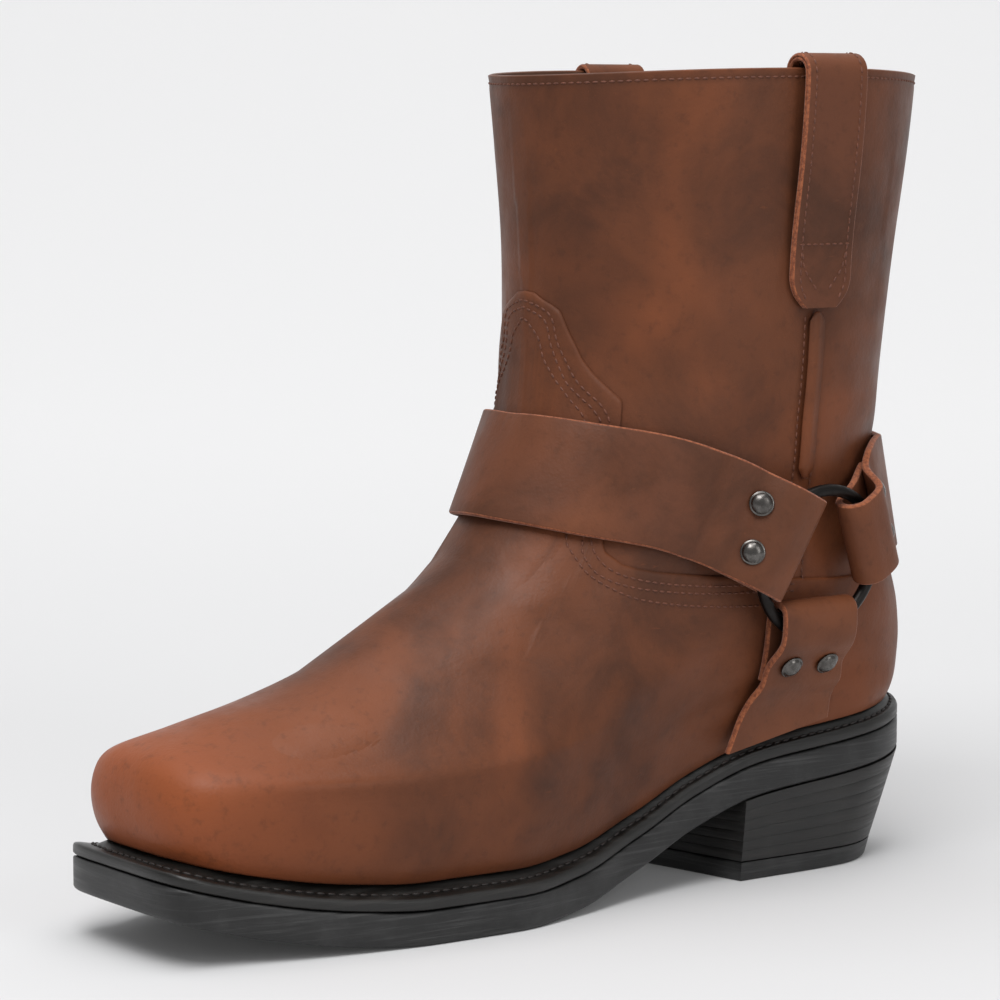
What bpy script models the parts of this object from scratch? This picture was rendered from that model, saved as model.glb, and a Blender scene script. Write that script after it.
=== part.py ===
"""Harness boot, left foot: a pull-on leather boot with a square toe and stacked heel.

A hollow leather upper stands on a welt, an outsole and a tapered heel.  Three
straps on each side meet at a steel ring and are closed around it by rivets, and
a pull strap loops over the rim on each side.

Boot frame: x runs to the outer side, the toe points along -y and z is up.
Along the foot, s is measured forwards from the back of the heel, so y = -s.
"""

import math

import bmesh
import bpy
import numpy as np
from mathutils import Vector
from mathutils.bvhtree import BVHTree

# Sole: lengths along the foot, widths across it, heights above the floor
SOLE_LENGTH = 0.3055
TOE_WIDTH = 0.0698
BALL_WIDTH = 0.1027
WAIST_WIDTH = 0.0623
HEEL_WIDTH = 0.0725
HEEL_HEIGHT = 0.0389
TOE_SPRING = 0.0155
OUTSOLE_EDGE = 0.0108
WELT_EDGE = 0.0040
WELT_RISE = 0.0030
TOE_MARGIN = 0.0085
WAIST_MARGIN = 0.0050
HEEL_MARGIN = 0.0036
EDGE_BEVEL = 0.0008
INSOLE_THICKNESS = 0.0026
INSOLE_CLEARANCE = 0.0025

# Heel block and the rubber lift under it
HEEL_BREAST = 0.0849
HEEL_BACK_RAKE = 0.0119
HEEL_SIDE_RAKE = 0.0028
HEEL_BACK_TAPER = 0.0050
BREAST_SKEW = 0.0100
LIFT_THICKNESS = 0.0065

# Upper: the shaft is an oval tube that runs forwards into the vamp
COLLAR_HEIGHT = 0.2660
COLLAR_BOW = 0.0025
SHAFT_LENGTH = 0.1568
SHAFT_WIDTH = 0.1168
SHAFT_BACK = -0.0022
UPPER_WALL = 0.0020
OVERLAY = 0.0013

# Pieces that lie on each other keep this gap
SEAT_GAP = 0.0003
FEATHER_GAP = 0.0007
STRAP_GAP = 0.0008
RING_GAP = 0.0007

# Harness: three straps meet at a ring on each side
STRAP_WIDTH = 0.0365
BACK_STRAP_WIDTH = 0.0385
STRAP_THICKNESS = 0.0025
STRAP_LEAF = 0.0230
LEAF_GAP = 0.0004
LEAF_OVERRUN = 0.0010
LEAF_RUNOUT = 0.0070
CLOSING_SHARE = 0.70
RING_RADIUS = 0.0240
RING_WIRE = 0.0040
RING_STATION = 0.0700
RING_LEAN = 9.0
RING_HEIGHT = 0.1085
FRONT_STRAP_TILT = 25.0
FRONT_STRAP_END = 0.0362
FRONT_STRAP_RISE = 0.0307
BACK_STRAP_TILT = 157.0
BACK_STRAP_END = 0.0300
BACK_STRAP_RISE = 0.0175
BACK_STRAP_SWING = 24.0
RING_STRAP_TILT = -90.0
RING_STRAP_END = 0.0310
RING_STRAP_WAIST = 0.0340
RING_STRAP_FOOT = 0.0440
RING_STRAP_LEAN = 0.0045
RIVET_RADIUS = 0.0041
RIVET_HEIGHT = 0.0022
RIVET_SPREAD = 0.0077
RIVET_SETBACK = 0.0172
RIVET_SKEW = 0.0016

# Pull straps at the rim and the raised seam below each
PULL_WIDTH = 0.0250
PULL_THICKNESS = 0.0026
PULL_LENGTH = 0.0820
PULL_RISE = 0.0052
PULL_SLACK = 0.0022
PULL_STATION = 0.0722
SEAM_WIDTH = 0.0062
SEAM_THICKNESS = 0.0014
SEAM_CLEARANCE = 0.0012
SEAM_LEAN = 0.0030

# Rays that find a surface start this far outside it, or outside the whole boot
RAY_REACH = 0.05
OUTSIDE = 0.20
CAP_RAYS = 24

OUTER = 1
INNER = -1

# The inner pull strap lies flat over the rim, since none stands above it in the photo
PULL_LOOPS = {
    # side: rise above the rim, thickness, slack
    OUTER: (PULL_RISE, PULL_THICKNESS, PULL_SLACK),
    INNER: (0.0027, 0.0018, 0.0006),
}

# Plan of the sole: station as a share of its length, and on each side of the
# centre line the half width as a share of the width that it follows
PLAN = [
    # station, width it follows, outer side, inner side
    (0.000, HEEL_WIDTH, 0.510, 0.490),
    (0.147, HEEL_WIDTH, 0.510, 0.490),
    (0.262, HEEL_WIDTH, 0.484, 0.450),
    (0.344, WAIST_WIDTH, 0.535, 0.466),
    (0.426, WAIST_WIDTH, 0.571, 0.482),
    (0.524, BALL_WIDTH, 0.419, 0.370),
    (0.622, BALL_WIDTH, 0.478, 0.467),
    (0.704, BALL_WIDTH, 0.474, 0.526),
    (0.770, BALL_WIDTH, 0.455, 0.516),
    (0.868, TOE_WIDTH, 0.601, 0.645),
    (0.949, TOE_WIDTH, 0.520, 0.520),
    (1.000, TOE_WIDTH, 0.490, 0.500),
]
PLAN_NOSE = 0.0140
PLAN_NOSE_FULLNESS = 3.6
PLAN_TAIL = 0.0360

# Underside of the outsole, as shares of the heel height and the toe spring
UNDERSIDE = [
    # station, heel share, spring share
    (0.000, 1.000, 0.000),
    (0.131, 0.859, 0.000),
    (0.262, 0.738, 0.000),
    (0.344, 0.524, 0.000),
    (0.426, 0.260, 0.000),
    (0.524, 0.051, 0.000),
    (0.598, 0.000, 0.000),
    (0.722, 0.000, 0.000),
    (0.802, 0.000, 0.130),
    (0.900, 0.000, 0.465),
    (1.000, 0.000, 1.000),
]

# Rows of the upper, from the feather edge on the welt up to the collar.  A rise
# is a share of the height from feather edge to collar.  Reach is the front's
# share of the way from the shaft's front (0) to the feather edge's toe (1), and
# tuck the back's share of the shaft's length.  Toe to heel are half widths, as
# shares of the feather edge's mixed with the shaft's.  Nose and tail are the
# lengths that round off, as shares of the sole's and the shaft's lengths.
ROWS = [
    # front, back, reach, tuck, toe, ball, waist, heel, shaft, nose, full, tip, tail
    (0.0000, 0.0000, 1.000, 0.045, 1.02, 1.00, 1.00, 1.00, 0.00, 0.058, 3.10, 0.35, 0.23),
    (0.0235, 0.0134, 1.022, 0.036, 1.12, 1.08, 1.06, 1.03, 0.00, 0.062, 3.10, 0.35, 0.23),
    (0.0576, 0.0326, 1.031, 0.028, 1.18, 1.13, 1.12, 1.05, 0.00, 0.066, 3.10, 0.35, 0.23),
    (0.0917, 0.0541, 1.024, 0.023, 1.20, 1.16, 1.19, 1.07, 0.00, 0.078, 3.00, 0.36, 0.24),
    (0.1220, 0.0757, 0.995, 0.021, 1.19, 1.17, 1.24, 1.08, 0.00, 0.120, 2.60, 0.37, 0.24),
    (0.1520, 0.0996, 0.915, 0.022, 1.16, 1.16, 1.27, 1.08, 0.05, 0.270, 2.00, 0.41, 0.25),
    (0.1830, 0.1284, 0.790, 0.027, 1.12, 1.14, 1.26, 1.08, 0.10, 0.390, 1.80, 0.44, 0.26),
    (0.2120, 0.1619, 0.655, 0.036, 1.08, 1.12, 1.21, 1.06, 0.20, 0.420, 1.70, 0.46, 0.28),
    (0.2452, 0.2002, 0.518, 0.047, 1.04, 1.06, 1.10, 0.98, 0.35, 0.410, 1.65, 0.47, 0.31),
    (0.2895, 0.2433, 0.375, 0.060, 1.00, 0.98, 1.00, 0.92, 0.50, 0.350, 1.70, 0.48, 0.35),
    (0.3414, 0.2912, 0.235, 0.073, 0.94, 0.93, 0.925, 0.875, 0.65, 0.290, 1.80, 0.49, 0.39),
    (0.4003, 0.3487, 0.110, 0.084, 0.90, 0.90, 0.89, 0.865, 0.80, 0.250, 1.90, 0.50, 0.42),
    (0.4694, 0.4157, 0.025, 0.090, 0.875, 0.875, 0.87, 0.865, 0.95, 0.235, 2.00, 0.50, 0.44),
    (0.5480, 0.4971, -0.022, 0.088, 0.885, 0.885, 0.883, 0.882, 1.00, 0.233, 2.00, 0.50, 0.45),
    (0.6379, 0.5929, -0.031, 0.073, 0.907, 0.907, 0.907, 0.907, 1.00, 0.235, 2.00, 0.50, 0.46),
    (0.7407, 0.7079, -0.029, 0.046, 0.930, 0.930, 0.930, 0.930, 1.00, 0.240, 2.00, 0.50, 0.48),
    (0.8600, 0.8420, -0.020, 0.020, 0.962, 0.962, 0.962, 0.962, 1.00, 0.248, 2.00, 0.50, 0.49),
    (1.0000, 1.0000, 0.000, 0.000, 1.000, 1.000, 1.000, 1.000, 1.00, 0.257, 2.00, 0.50, 0.50),
]
WIDTH_STATIONS = (0.868, 0.671, 0.386, 0.147)
# A full turn of the section draws its columns together as this much length would
TURN_LENGTH = 0.012
TOP_ROW = len(ROWS) - 1


def steady(points, x):
    """Read a table's curve without overshoot, for profiles with flat stretches."""
    xs = np.array([p[0] for p in points], dtype=float)
    ys = np.array([p[1] for p in points], dtype=float)
    step = np.diff(xs)
    slope = np.diff(ys) / step
    tangent = np.zeros(len(xs))
    for i in range(1, len(xs) - 1):
        if slope[i - 1] * slope[i] > 0.0:
            before = 2.0 * step[i] + step[i - 1]
            after = step[i] + 2.0 * step[i - 1]
            tangent[i] = (before + after) / (before / slope[i - 1] + after / slope[i])
    tangent[0] = slope[0]
    tangent[-1] = slope[-1]
    x = np.clip(np.asarray(x, dtype=float), xs[0], xs[-1])
    i = np.clip(np.searchsorted(xs, x, side="right") - 1, 0, len(step) - 1)
    t = (x - xs[i]) / step[i]
    return (
        ys[i] * (1 + 2 * t) * (1 - t) ** 2
        + tangent[i] * step[i] * t * (1 - t) ** 2
        + ys[i + 1] * t * t * (3 - 2 * t)
        + tangent[i + 1] * step[i] * t * t * (t - 1)
    )


def flowing(xs, ys, x):
    """Natural cubic curve through the points, for one column or several."""
    xs = np.asarray(xs, dtype=float)
    ys = np.asarray(ys, dtype=float)
    count = len(xs)
    step = np.diff(xs)
    system = np.zeros((count, count))
    right = np.zeros(ys.shape)
    system[0, 0] = 1.0
    system[-1, -1] = 1.0
    for i in range(1, count - 1):
        system[i, i - 1] = step[i - 1]
        system[i, i] = 2.0 * (step[i - 1] + step[i])
        system[i, i + 1] = step[i]
        rise = (ys[i + 1] - ys[i]) / step[i]
        run = (ys[i] - ys[i - 1]) / step[i - 1]
        right[i] = 6.0 * (rise - run)
    bend = np.linalg.solve(system, right)
    x = np.asarray(x, dtype=float)
    i = np.clip(np.searchsorted(xs, x, side="right") - 1, 0, count - 2)
    width = step[i]
    a = (xs[i + 1] - x) / width
    b = (x - xs[i]) / width
    if ys.ndim > 1:
        a = a[..., None]
        b = b[..., None]
        width = width[..., None]
    cubic = (a ** 3 - a) * bend[i] + (b ** 3 - b) * bend[i + 1]
    return a * ys[i] + b * ys[i + 1] + cubic * width * width / 6.0


# Sole outlines

def plan_body(side, s):
    column = 2 if side == OUTER else 3
    points = [(row[0], row[1] * row[column]) for row in PLAN]
    return steady(points, s / SOLE_LENGTH)


def margin(s):
    """Width of welt that shows outside the upper."""
    points = [(0.0, HEEL_MARGIN), (0.20, HEEL_MARGIN), (0.42, WAIST_MARGIN), (0.70, TOE_MARGIN), (1.0, TOE_MARGIN)]
    return steady(points, s / SOLE_LENGTH)


def rounding(distance, length, fullness, tip):
    """Share of the full width at a distance from an end that rounds off."""
    t = np.clip(distance / length, 0.0, 1.0)
    return (1.0 - (1.0 - t) ** fullness) ** tip


def underside(s):
    share = s / SOLE_LENGTH
    heel = steady([(row[0], row[1]) for row in UNDERSIDE], share)
    spring = steady([(row[0], row[2]) for row in UNDERSIDE], share)
    return heel * HEEL_HEIGHT + spring * TOE_SPRING


def welt_edge_top(s):
    return underside(s) + OUTSOLE_EDGE + SEAT_GAP + WELT_EDGE


def welt_seat(s):
    """Top of the welt under the upper and the insole."""
    return welt_edge_top(s) + WELT_RISE


def feather(s):
    """Height of the upper's lower edge."""
    return welt_seat(s) + FEATHER_GAP


def sole_half_width(side, s, inset):
    nose = rounding(SOLE_LENGTH - inset - s, PLAN_NOSE, PLAN_NOSE_FULLNESS, 1.0 / PLAN_NOSE_FULLNESS)
    tail = rounding(s - inset, PLAN_TAIL, 2.0, 0.5)
    return (plan_body(side, s) - inset) * nose * tail


# Upper surface

def upper_rows(v):
    """Section values at row v, a number or an array."""
    table = np.array(ROWS)
    return flowing(np.arange(len(ROWS)), table, np.asarray(v, dtype=float))


def collar(s):
    """Height of the rim, which bows up a little at the sides."""
    middle = SHAFT_BACK + 0.5 * SHAFT_LENGTH
    share = np.clip((s - middle) / (0.5 * SHAFT_LENGTH), -1.0, 1.0)
    return COLLAR_HEIGHT + COLLAR_BOW * (1.0 - share * share)


def upper_half_loop(v, side, count=220):
    """Points (s, half width, z) of row v on one side, front centre to back centre."""
    front, back, reach, tuck, toe, ball, waist, heel, shaft, nose, full, tip, tail = upper_rows(v)
    shaft_front = SHAFT_BACK + SHAFT_LENGTH
    feather_toe = SOLE_LENGTH - TOE_MARGIN
    s_front = shaft_front + reach * (feather_toe - shaft_front)
    s_back = SHAFT_BACK + tuck * SHAFT_LENGTH
    q = np.linspace(0.0, 1.0, count)
    s = s_front + (s_back - s_front) * 0.5 * (1.0 - np.cos(math.pi * q))
    share = steady(sorted(zip(WIDTH_STATIONS, (toe, ball, waist, heel))), s / SOLE_LENGTH)
    foot = plan_body(side, np.clip(s, 0.0, SOLE_LENGTH)) - margin(s)
    base = (1.0 - shaft) * foot + shaft * 0.5 * SHAFT_WIDTH
    width = base * share
    width = width * rounding(s_front - s, nose * SOLE_LENGTH, full, tip)
    width = width * rounding(s - s_back, tail * SHAFT_LENGTH, 2.0, 0.5)
    along = (s - s_back) / (s_front - s_back)
    rise = back + (front - back) * along
    low = feather(np.clip(s, 0.0, SOLE_LENGTH))
    z = low + rise * (collar(s) - low)
    return s, width, z


def seam_station():
    """Station of the side seam, at the middle of the shaft."""
    return SHAFT_BACK + 0.5 * SHAFT_LENGTH


def upper_half_grid(rows, side, shares):
    """Points of one side for each row; shares run 0 at the front centre, 1 at the
    side seam and 2 at the back centre, by length plus a length for each turn."""
    grid = np.zeros((len(rows), len(shares), 3))
    for i, v in enumerate(rows):
        s, width, z = upper_half_loop(v, side)
        path = np.stack([s, width, z], axis=1)
        leg = np.diff(path, axis=0)
        length = np.linalg.norm(leg, axis=1)
        heading = np.unwrap(np.arctan2(leg[:, 1], leg[:, 0]))
        turn = np.abs(np.gradient(heading))
        measure = np.concatenate([[0.0], np.cumsum(length + TURN_LENGTH * turn)])
        at_seam = np.interp(-seam_station(), -s, measure)
        target = np.where(
            shares <= 1.0,
            shares * at_seam,
            at_seam + (shares - 1.0) * (measure[-1] - at_seam),
        )
        for k in range(3):
            grid[i, :, k] = np.interp(target, measure, path[:, k])
    return np.stack([side * grid[:, :, 1], -grid[:, :, 0], grid[:, :, 2]], axis=2)


def upper_grid(rows, shares):
    """Closed loops of points: front, outer side, back, inner side; rows by columns."""
    outer = upper_half_grid(rows, OUTER, shares)
    inner = upper_half_grid(rows, INNER, shares)
    return np.concatenate([outer, inner[:, -2:0:-1]], axis=1)


def grid_normals(grid):
    """Outward unit normals of closed loops of points."""
    around = np.roll(grid, -1, axis=1) - np.roll(grid, 1, axis=1)
    upward = np.gradient(grid, axis=0)
    normal = np.cross(around, upward)
    outward = np.sign(np.sum(normal * (grid - grid.mean(axis=1, keepdims=True)), axis=2).sum())
    return normal * outward / np.linalg.norm(normal, axis=2, keepdims=True)


# Top edge of the vamp and counter overlay: share of the way round one side
# (0 front, 1 side seam, 2 back) and height as a share of the collar height
OVERLAY_EDGE = [
    (0.000, 0.742),
    (0.047, 0.740),
    (0.088, 0.732),
    (0.128, 0.726),
    (0.162, 0.719),
    (0.195, 0.694),
    (0.221, 0.678),
    (0.246, 0.661),
    (0.287, 0.644),
    (0.337, 0.628),
    (0.388, 0.612),
    (0.393, 0.560),
    (0.420, 0.452),
    (0.450, 0.434),
    (0.519, 0.418),
    (0.569, 0.412),
    (0.628, 0.407),
    (0.754, 0.400),
    (0.902, 0.391),
    (1.000, 0.386),
    (1.200, 0.380),
    (1.500, 0.378),
    (2.000, 0.382),
]
UPPER_SHARES = np.array(
    [0.0, 0.047, 0.088, 0.128, 0.162, 0.195, 0.221, 0.246, 0.287, 0.337, 0.388, 0.393, 0.42, 0.45, 0.48]
    + [0.519, 0.569, 0.628, 0.69, 0.754, 0.814, 0.872, 0.934, 1.0, 1.1, 1.2, 1.32, 1.44, 1.56, 1.68, 1.79]
    + [1.9, 2.0]
)


def overlay_edge_height(share):
    points = np.array(OVERLAY_EDGE)
    return COLLAR_HEIGHT * np.interp(share, points[:, 0], points[:, 1])


def column_rows(fine_rows, fine_grid, shares_round):
    """Row at which each column meets the overlay's top edge."""
    edge = []
    for j, share in enumerate(shares_round):
        z = fine_grid[:, j, 2]
        start = len(z) // 3
        edge.append(np.interp(overlay_edge_height(share), z[start:], fine_rows[start:]))
    return np.array(edge)


# Mesh helpers

def parts_collection():
    found = bpy.data.collections.get("harness_boot")
    if found is None:
        found = bpy.data.collections.new("harness_boot")
        bpy.context.scene.collection.children.link(found)
    return found


def finish_material(name, colour, roughness, metallic=0.0):
    found = bpy.data.materials.get(name)
    if found is None:
        found = bpy.data.materials.new(name)
        found.use_nodes = True
        shader = found.node_tree.nodes["Principled BSDF"]
        shader.inputs["Base Color"].default_value = (*colour, 1.0)
        shader.inputs["Roughness"].default_value = roughness
        shader.inputs["Metallic"].default_value = metallic
    return found


def add_object(name, points, faces, material, root, sharp_angle=0.6):
    mesh = bpy.data.meshes.new(name)
    mesh.from_pydata([tuple(p) for p in points], [], faces)
    mesh.validate()
    builder = bmesh.new()
    builder.from_mesh(mesh)
    bmesh.ops.triangulate(builder, faces=[f for f in builder.faces if len(f.verts) == 4])
    bmesh.ops.recalc_face_normals(builder, faces=builder.faces)
    builder.to_mesh(mesh)
    builder.free()
    mesh.shade_smooth()
    mesh.set_sharp_from_angle(angle=sharp_angle)
    mesh.materials.append(material)
    made = bpy.data.objects.new(name, mesh)
    parts_collection().objects.link(made)
    made.parent = root
    return made


def ring_faces(start_a, start_b, count):
    """Quads between two closed loops of points."""
    return [
        (start_a + j, start_a + (j + 1) % count, start_b + (j + 1) % count, start_b + j)
        for j in range(count)
    ]


def ladder_faces(start, half):
    """Faces across a closed loop whose two sides have matching points.

    The loop is front centre, half - 1 points down the outer side, back centre,
    and half - 1 points back up the inner side."""
    count = 2 * half
    faces = [(start, start + 1, start + count - 1)]
    for j in range(1, half - 1):
        faces.append((start + j, start + j + 1, start + count - j - 1, start + count - j))
    faces.append((start + half - 1, start + half, start + half + 1))
    return faces


# Sole

def sole_loop(inset, height, back=0.0):
    """Closed loop of the sole's plan, pulled in by inset, at height(s)."""
    toe = [0.0, 0.004, 0.016, 0.036, 0.06, 0.09, 0.125]
    arch = [0.165, 0.20, 0.24, 0.28, 0.33, 0.394, 0.43, 0.476, 0.52, 0.56, 0.60, 0.64, 0.68, 0.72]
    heel = [0.76, 0.80, 0.84, 0.88, 0.915, 0.945, 0.97, 0.988, 0.997, 1.0]
    along = np.array(toe + arch + heel)
    s = (SOLE_LENGTH - inset) - along * (SOLE_LENGTH - 2.0 * inset)
    outer = [(sole_half_width(OUTER, x, inset), -x, height(x)) for x in s]
    inner = [(-sole_half_width(INNER, x, inset), -x, height(x)) for x in s]
    return outer + inner[-2:0:-1]


def plate(name, loops, material, root):
    """Closed solid from loops that run from the underside's edge up to the top's."""
    count = len(loops[0])
    half = count // 2
    points = [p for loop in loops for p in loop]
    faces = ladder_faces(0, half)
    for k in range(len(loops) - 1):
        faces += ring_faces(k * count, (k + 1) * count, count)
    faces += ladder_faces((len(loops) - 1) * count, half)
    return add_object(name, points, faces, material, root)


def raised(height, offset):
    """A height over the sole, moved up by an offset."""
    def moved(s):
        return height(s) + offset
    return moved


def build_welt(material, root):
    loops = [
        sole_loop(0.0, raised(underside, OUTSOLE_EDGE + SEAT_GAP)),
        sole_loop(0.0, raised(welt_edge_top, -EDGE_BEVEL)),
        sole_loop(EDGE_BEVEL, welt_edge_top),
    ]
    seat = []
    for x, y, z in sole_loop(EDGE_BEVEL, welt_seat):
        reach = margin(-y) - SEAT_GAP
        seat.append((x, y, z, reach))
    loops.append(inset_loop(seat))
    return plate("welt", loops, material, root)


def inset_loop(points):
    """Move each point of a closed loop inwards, square to the loop, by its own reach."""
    flat = np.array([p[:2] for p in points])
    ahead = np.roll(flat, -1, axis=0) - np.roll(flat, 1, axis=0)
    square = np.stack([-ahead[:, 1], ahead[:, 0]], axis=1)
    square /= np.linalg.norm(square, axis=1, keepdims=True)
    middle = flat.mean(axis=0)
    side = np.sign(np.sum(square * (middle - flat), axis=1).sum())
    moved = []
    for point, direction in zip(points, square * side):
        x = point[0] + direction[0] * point[3]
        y = point[1] + direction[1] * point[3]
        moved.append((x, y, welt_seat(min(max(-y, 0.0), SOLE_LENGTH))))
    return moved


def build_outsole(material, root):
    loops = [
        sole_loop(EDGE_BEVEL, underside),
        sole_loop(0.0, raised(underside, EDGE_BEVEL)),
        sole_loop(0.0, raised(underside, OUTSOLE_EDGE)),
    ]
    return plate("outsole", loops, material, root)


def heel_loop(height_share, level):
    """U-shaped loop of the heel; height_share is 0 on the floor and 1 at the outsole."""
    rake = (1.0 - height_share) * HEEL_BACK_RAKE
    narrow = (1.0 - height_share) * HEEL_SIDE_RAKE
    along = np.array([0.0, 0.12, 0.26, 0.40, 0.54, 0.66, 0.76, 0.84, 0.90, 0.945, 0.975, 0.993, 1.0])
    length = HEEL_BREAST - rake
    outer = []
    inner = []
    for share in along:
        s = HEEL_BREAST - share * length
        tail = rounding(s - rake, PLAN_TAIL - 0.5 * rake, 2.0, 0.5)
        for side, row in ((OUTER, outer), (INNER, inner)):
            taper = (1.0 - height_share) * HEEL_BACK_TAPER * share
            width = (plan_body(side, s) - narrow - taper) * tail
            skew = BREAST_SKEW * (1.0 - share) * (0.0 if side == OUTER else 1.0)
            row.append((side * width, -(s + skew), level(s + skew)))
    return outer, inner


def heel_solid(name, shares, levels, material, root):
    points = []
    count = 0
    for share, level in zip(shares, levels):
        outer, inner = heel_loop(share, level)
        loop = outer + inner[-2::-1]
        count = len(loop)
        points += loop
    half = count // 2
    faces = []
    for k in range(len(shares) - 1):
        faces += ring_faces(k * count, (k + 1) * count, count)
    for start in (0, (len(shares) - 1) * count):
        for j in range(half - 1):
            a = start + j
            b = start + count - 1 - j
            faces.append((a, a + 1, b - 1, b))
        faces.append((start + half - 1, start + half, start + half + 1))
    return add_object(name, points, faces, material, root)


def level_at(z):
    def level(s):
        return z
    return level


def build_heel(stack_material, lift_material, root):
    share_lift = LIFT_THICKNESS / HEEL_HEIGHT
    lift_levels = (level_at(0.0), level_at(LIFT_THICKNESS))
    heel_solid("heel_lift", (0.0, share_lift), lift_levels, lift_material, root)

    low = LIFT_THICKNESS + SEAT_GAP
    seat = raised(underside, -SEAT_GAP)

    def middle(s):
        return 0.5 * (low + seat(s))

    shares = (share_lift, 0.5 * (1.0 + share_lift), 1.0)
    heel_solid("heel_stack", shares, (level_at(low), middle, seat), stack_material, root)


def build_insole(material, root):
    clear = TOE_MARGIN + UPPER_WALL + INSOLE_CLEARANCE
    bottom = sole_loop(clear, raised(welt_seat, SEAT_GAP))
    top = sole_loop(clear, raised(welt_seat, SEAT_GAP + INSOLE_THICKNESS))
    return plate("insole", [bottom, top], material, root)


# Upper

def build_upper(material, root):
    shares = UPPER_SHARES
    shares_round = np.concatenate([shares, shares[-2:0:-1]])
    fine_rows = np.linspace(0.0, TOP_ROW, 12 * TOP_ROW + 1)
    fine = upper_grid(fine_rows, shares)
    normals = grid_normals(fine)
    edge = column_rows(fine_rows, fine, shares_round)
    count = len(shares_round)

    def point(j, row, offset):
        base = [np.interp(row, fine_rows, fine[:, j, k]) for k in range(3)]
        out = [np.interp(row, fine_rows, normals[:, j, k]) for k in range(3)]
        return np.array(base) + offset * np.array(out) / np.linalg.norm(out)

    foot_rows = [0.0, 0.6, 1.3, 2.2, 3.1, 4.0, 5.0, 6.0, 7.0, 7.8]
    foot_steps = [0.25, 0.5, 0.75, 1.0]
    shaft_steps = [0.0, 0.25, 0.5, 0.75]
    shaft_rows = [15.3, 16.2, TOP_ROW]
    low = foot_rows[-1]
    loops = []
    for row in foot_rows:
        loops.append([point(j, row, OVERLAY) for j in range(count)])
    for step in foot_steps:
        loops.append([point(j, low + step * (edge[j] - low), OVERLAY) for j in range(count)])
    for step in shaft_steps:
        loops.append([point(j, edge[j] + step * (shaft_rows[0] - edge[j]), 0.0) for j in range(count)])
    for row in shaft_rows:
        loops.append([point(j, row, 0.0) for j in range(count)])
    for row in [TOP_ROW, 15.5, 14.0, 12.5, 11.2, 10.0, 9.0, 8.0, 7.0, 6.0, 5.0, 4.0, 3.0, 2.0, 1.0, 0.0]:
        loops.append([point(j, row, -UPPER_WALL) for j in range(count)])
    for loop in (loops[0], loops[-1]):
        for p in loop:
            p[2] = feather(min(max(-p[1], 0.0), SOLE_LENGTH))
    top = len(foot_rows) + len(foot_steps) + len(shaft_steps) + len(shaft_rows) - 1
    for loop in (loops[top], loops[top + 1]):
        for p in loop:
            p[2] = collar(-p[1])
    points = [p for loop in loops for p in loop]
    faces = []
    for k in range(len(loops)):
        faces += ring_faces(k * count, ((k + 1) % len(loops)) * count, count)
    return add_object("upper", points, faces, material, root)


# Harness straps

# Front strap's middle line: angle round the shaft from the side towards the
# front, and rise above the ring as a share of the strap's rise
FRONT_STRAP_LINE = [
    (40.0, 0.70),
    (51.0, 0.83),
    (64.0, 0.93),
    (77.0, 0.985),
    (90.0, 1.00),
]
BACK_STRAP_LINE = [
    (-68.0, 1.00),
    (-79.0, 1.00),
    (-90.0, 1.00),
]


def tree_of(made):
    """Search tree of an object's own mesh, in the boot frame."""
    mesh = made.data
    points = [vertex.co for vertex in mesh.vertices]
    return BVHTree.FromPolygons(points, [tuple(face.vertices) for face in mesh.polygons])


def surface_hit(tree, side, angle, z):
    """Point of the upper's outside at an angle from the side towards the front."""
    turn = math.radians(angle)
    out = Vector((side * math.cos(turn), -math.sin(turn), 0.0))
    axis = Vector((0.0, -seam_station(), z))
    hit = tree.ray_cast(axis + out * OUTSIDE, -out, 2.0 * OUTSIDE)
    return hit[0]


class RingSeat:
    """Plane and centre of the ring on one side, clear of an inner leaf on the upper."""

    def __init__(self, tree, side):
        lean = math.radians(RING_LEAN)
        self.side = side
        self.forward = Vector((0.0, -1.0, 0.0))
        self.up = Vector((side * math.sin(lean), 0.0, math.cos(lean)))
        self.out = Vector((side * math.cos(lean), 0.0, -math.sin(lean)))
        level = Vector((0.0, -RING_STATION, RING_HEIGHT))
        level.x = side * OUTSIDE
        base = tree.ray_cast(level, Vector((-side, 0.0, 0.0)), 2.0 * OUTSIDE)[0]
        reach = RING_RADIUS + 0.5 * RING_WIRE
        height = 0.0
        for i in range(-4, 5):
            for j in range(-4, 5):
                if i * i + j * j > 17:
                    continue
                spot = base + self.forward * (reach * i / 4.0) + self.up * (reach * j / 4.0)
                hit = tree.ray_cast(spot + self.out * RAY_REACH, -self.out, 4.0 * RAY_REACH)
                height = max(height, (hit[0] - base).dot(self.out))
        stack = STRAP_GAP + STRAP_THICKNESS + RING_GAP + 0.5 * RING_WIRE
        centre = base + self.out * (height + stack)
        self.centre = centre + self.up * ((RING_HEIGHT - centre.z) / self.up.z)


def fold_radius():
    return 0.5 * RING_WIRE + RING_GAP + 0.5 * STRAP_THICKNESS


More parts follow.
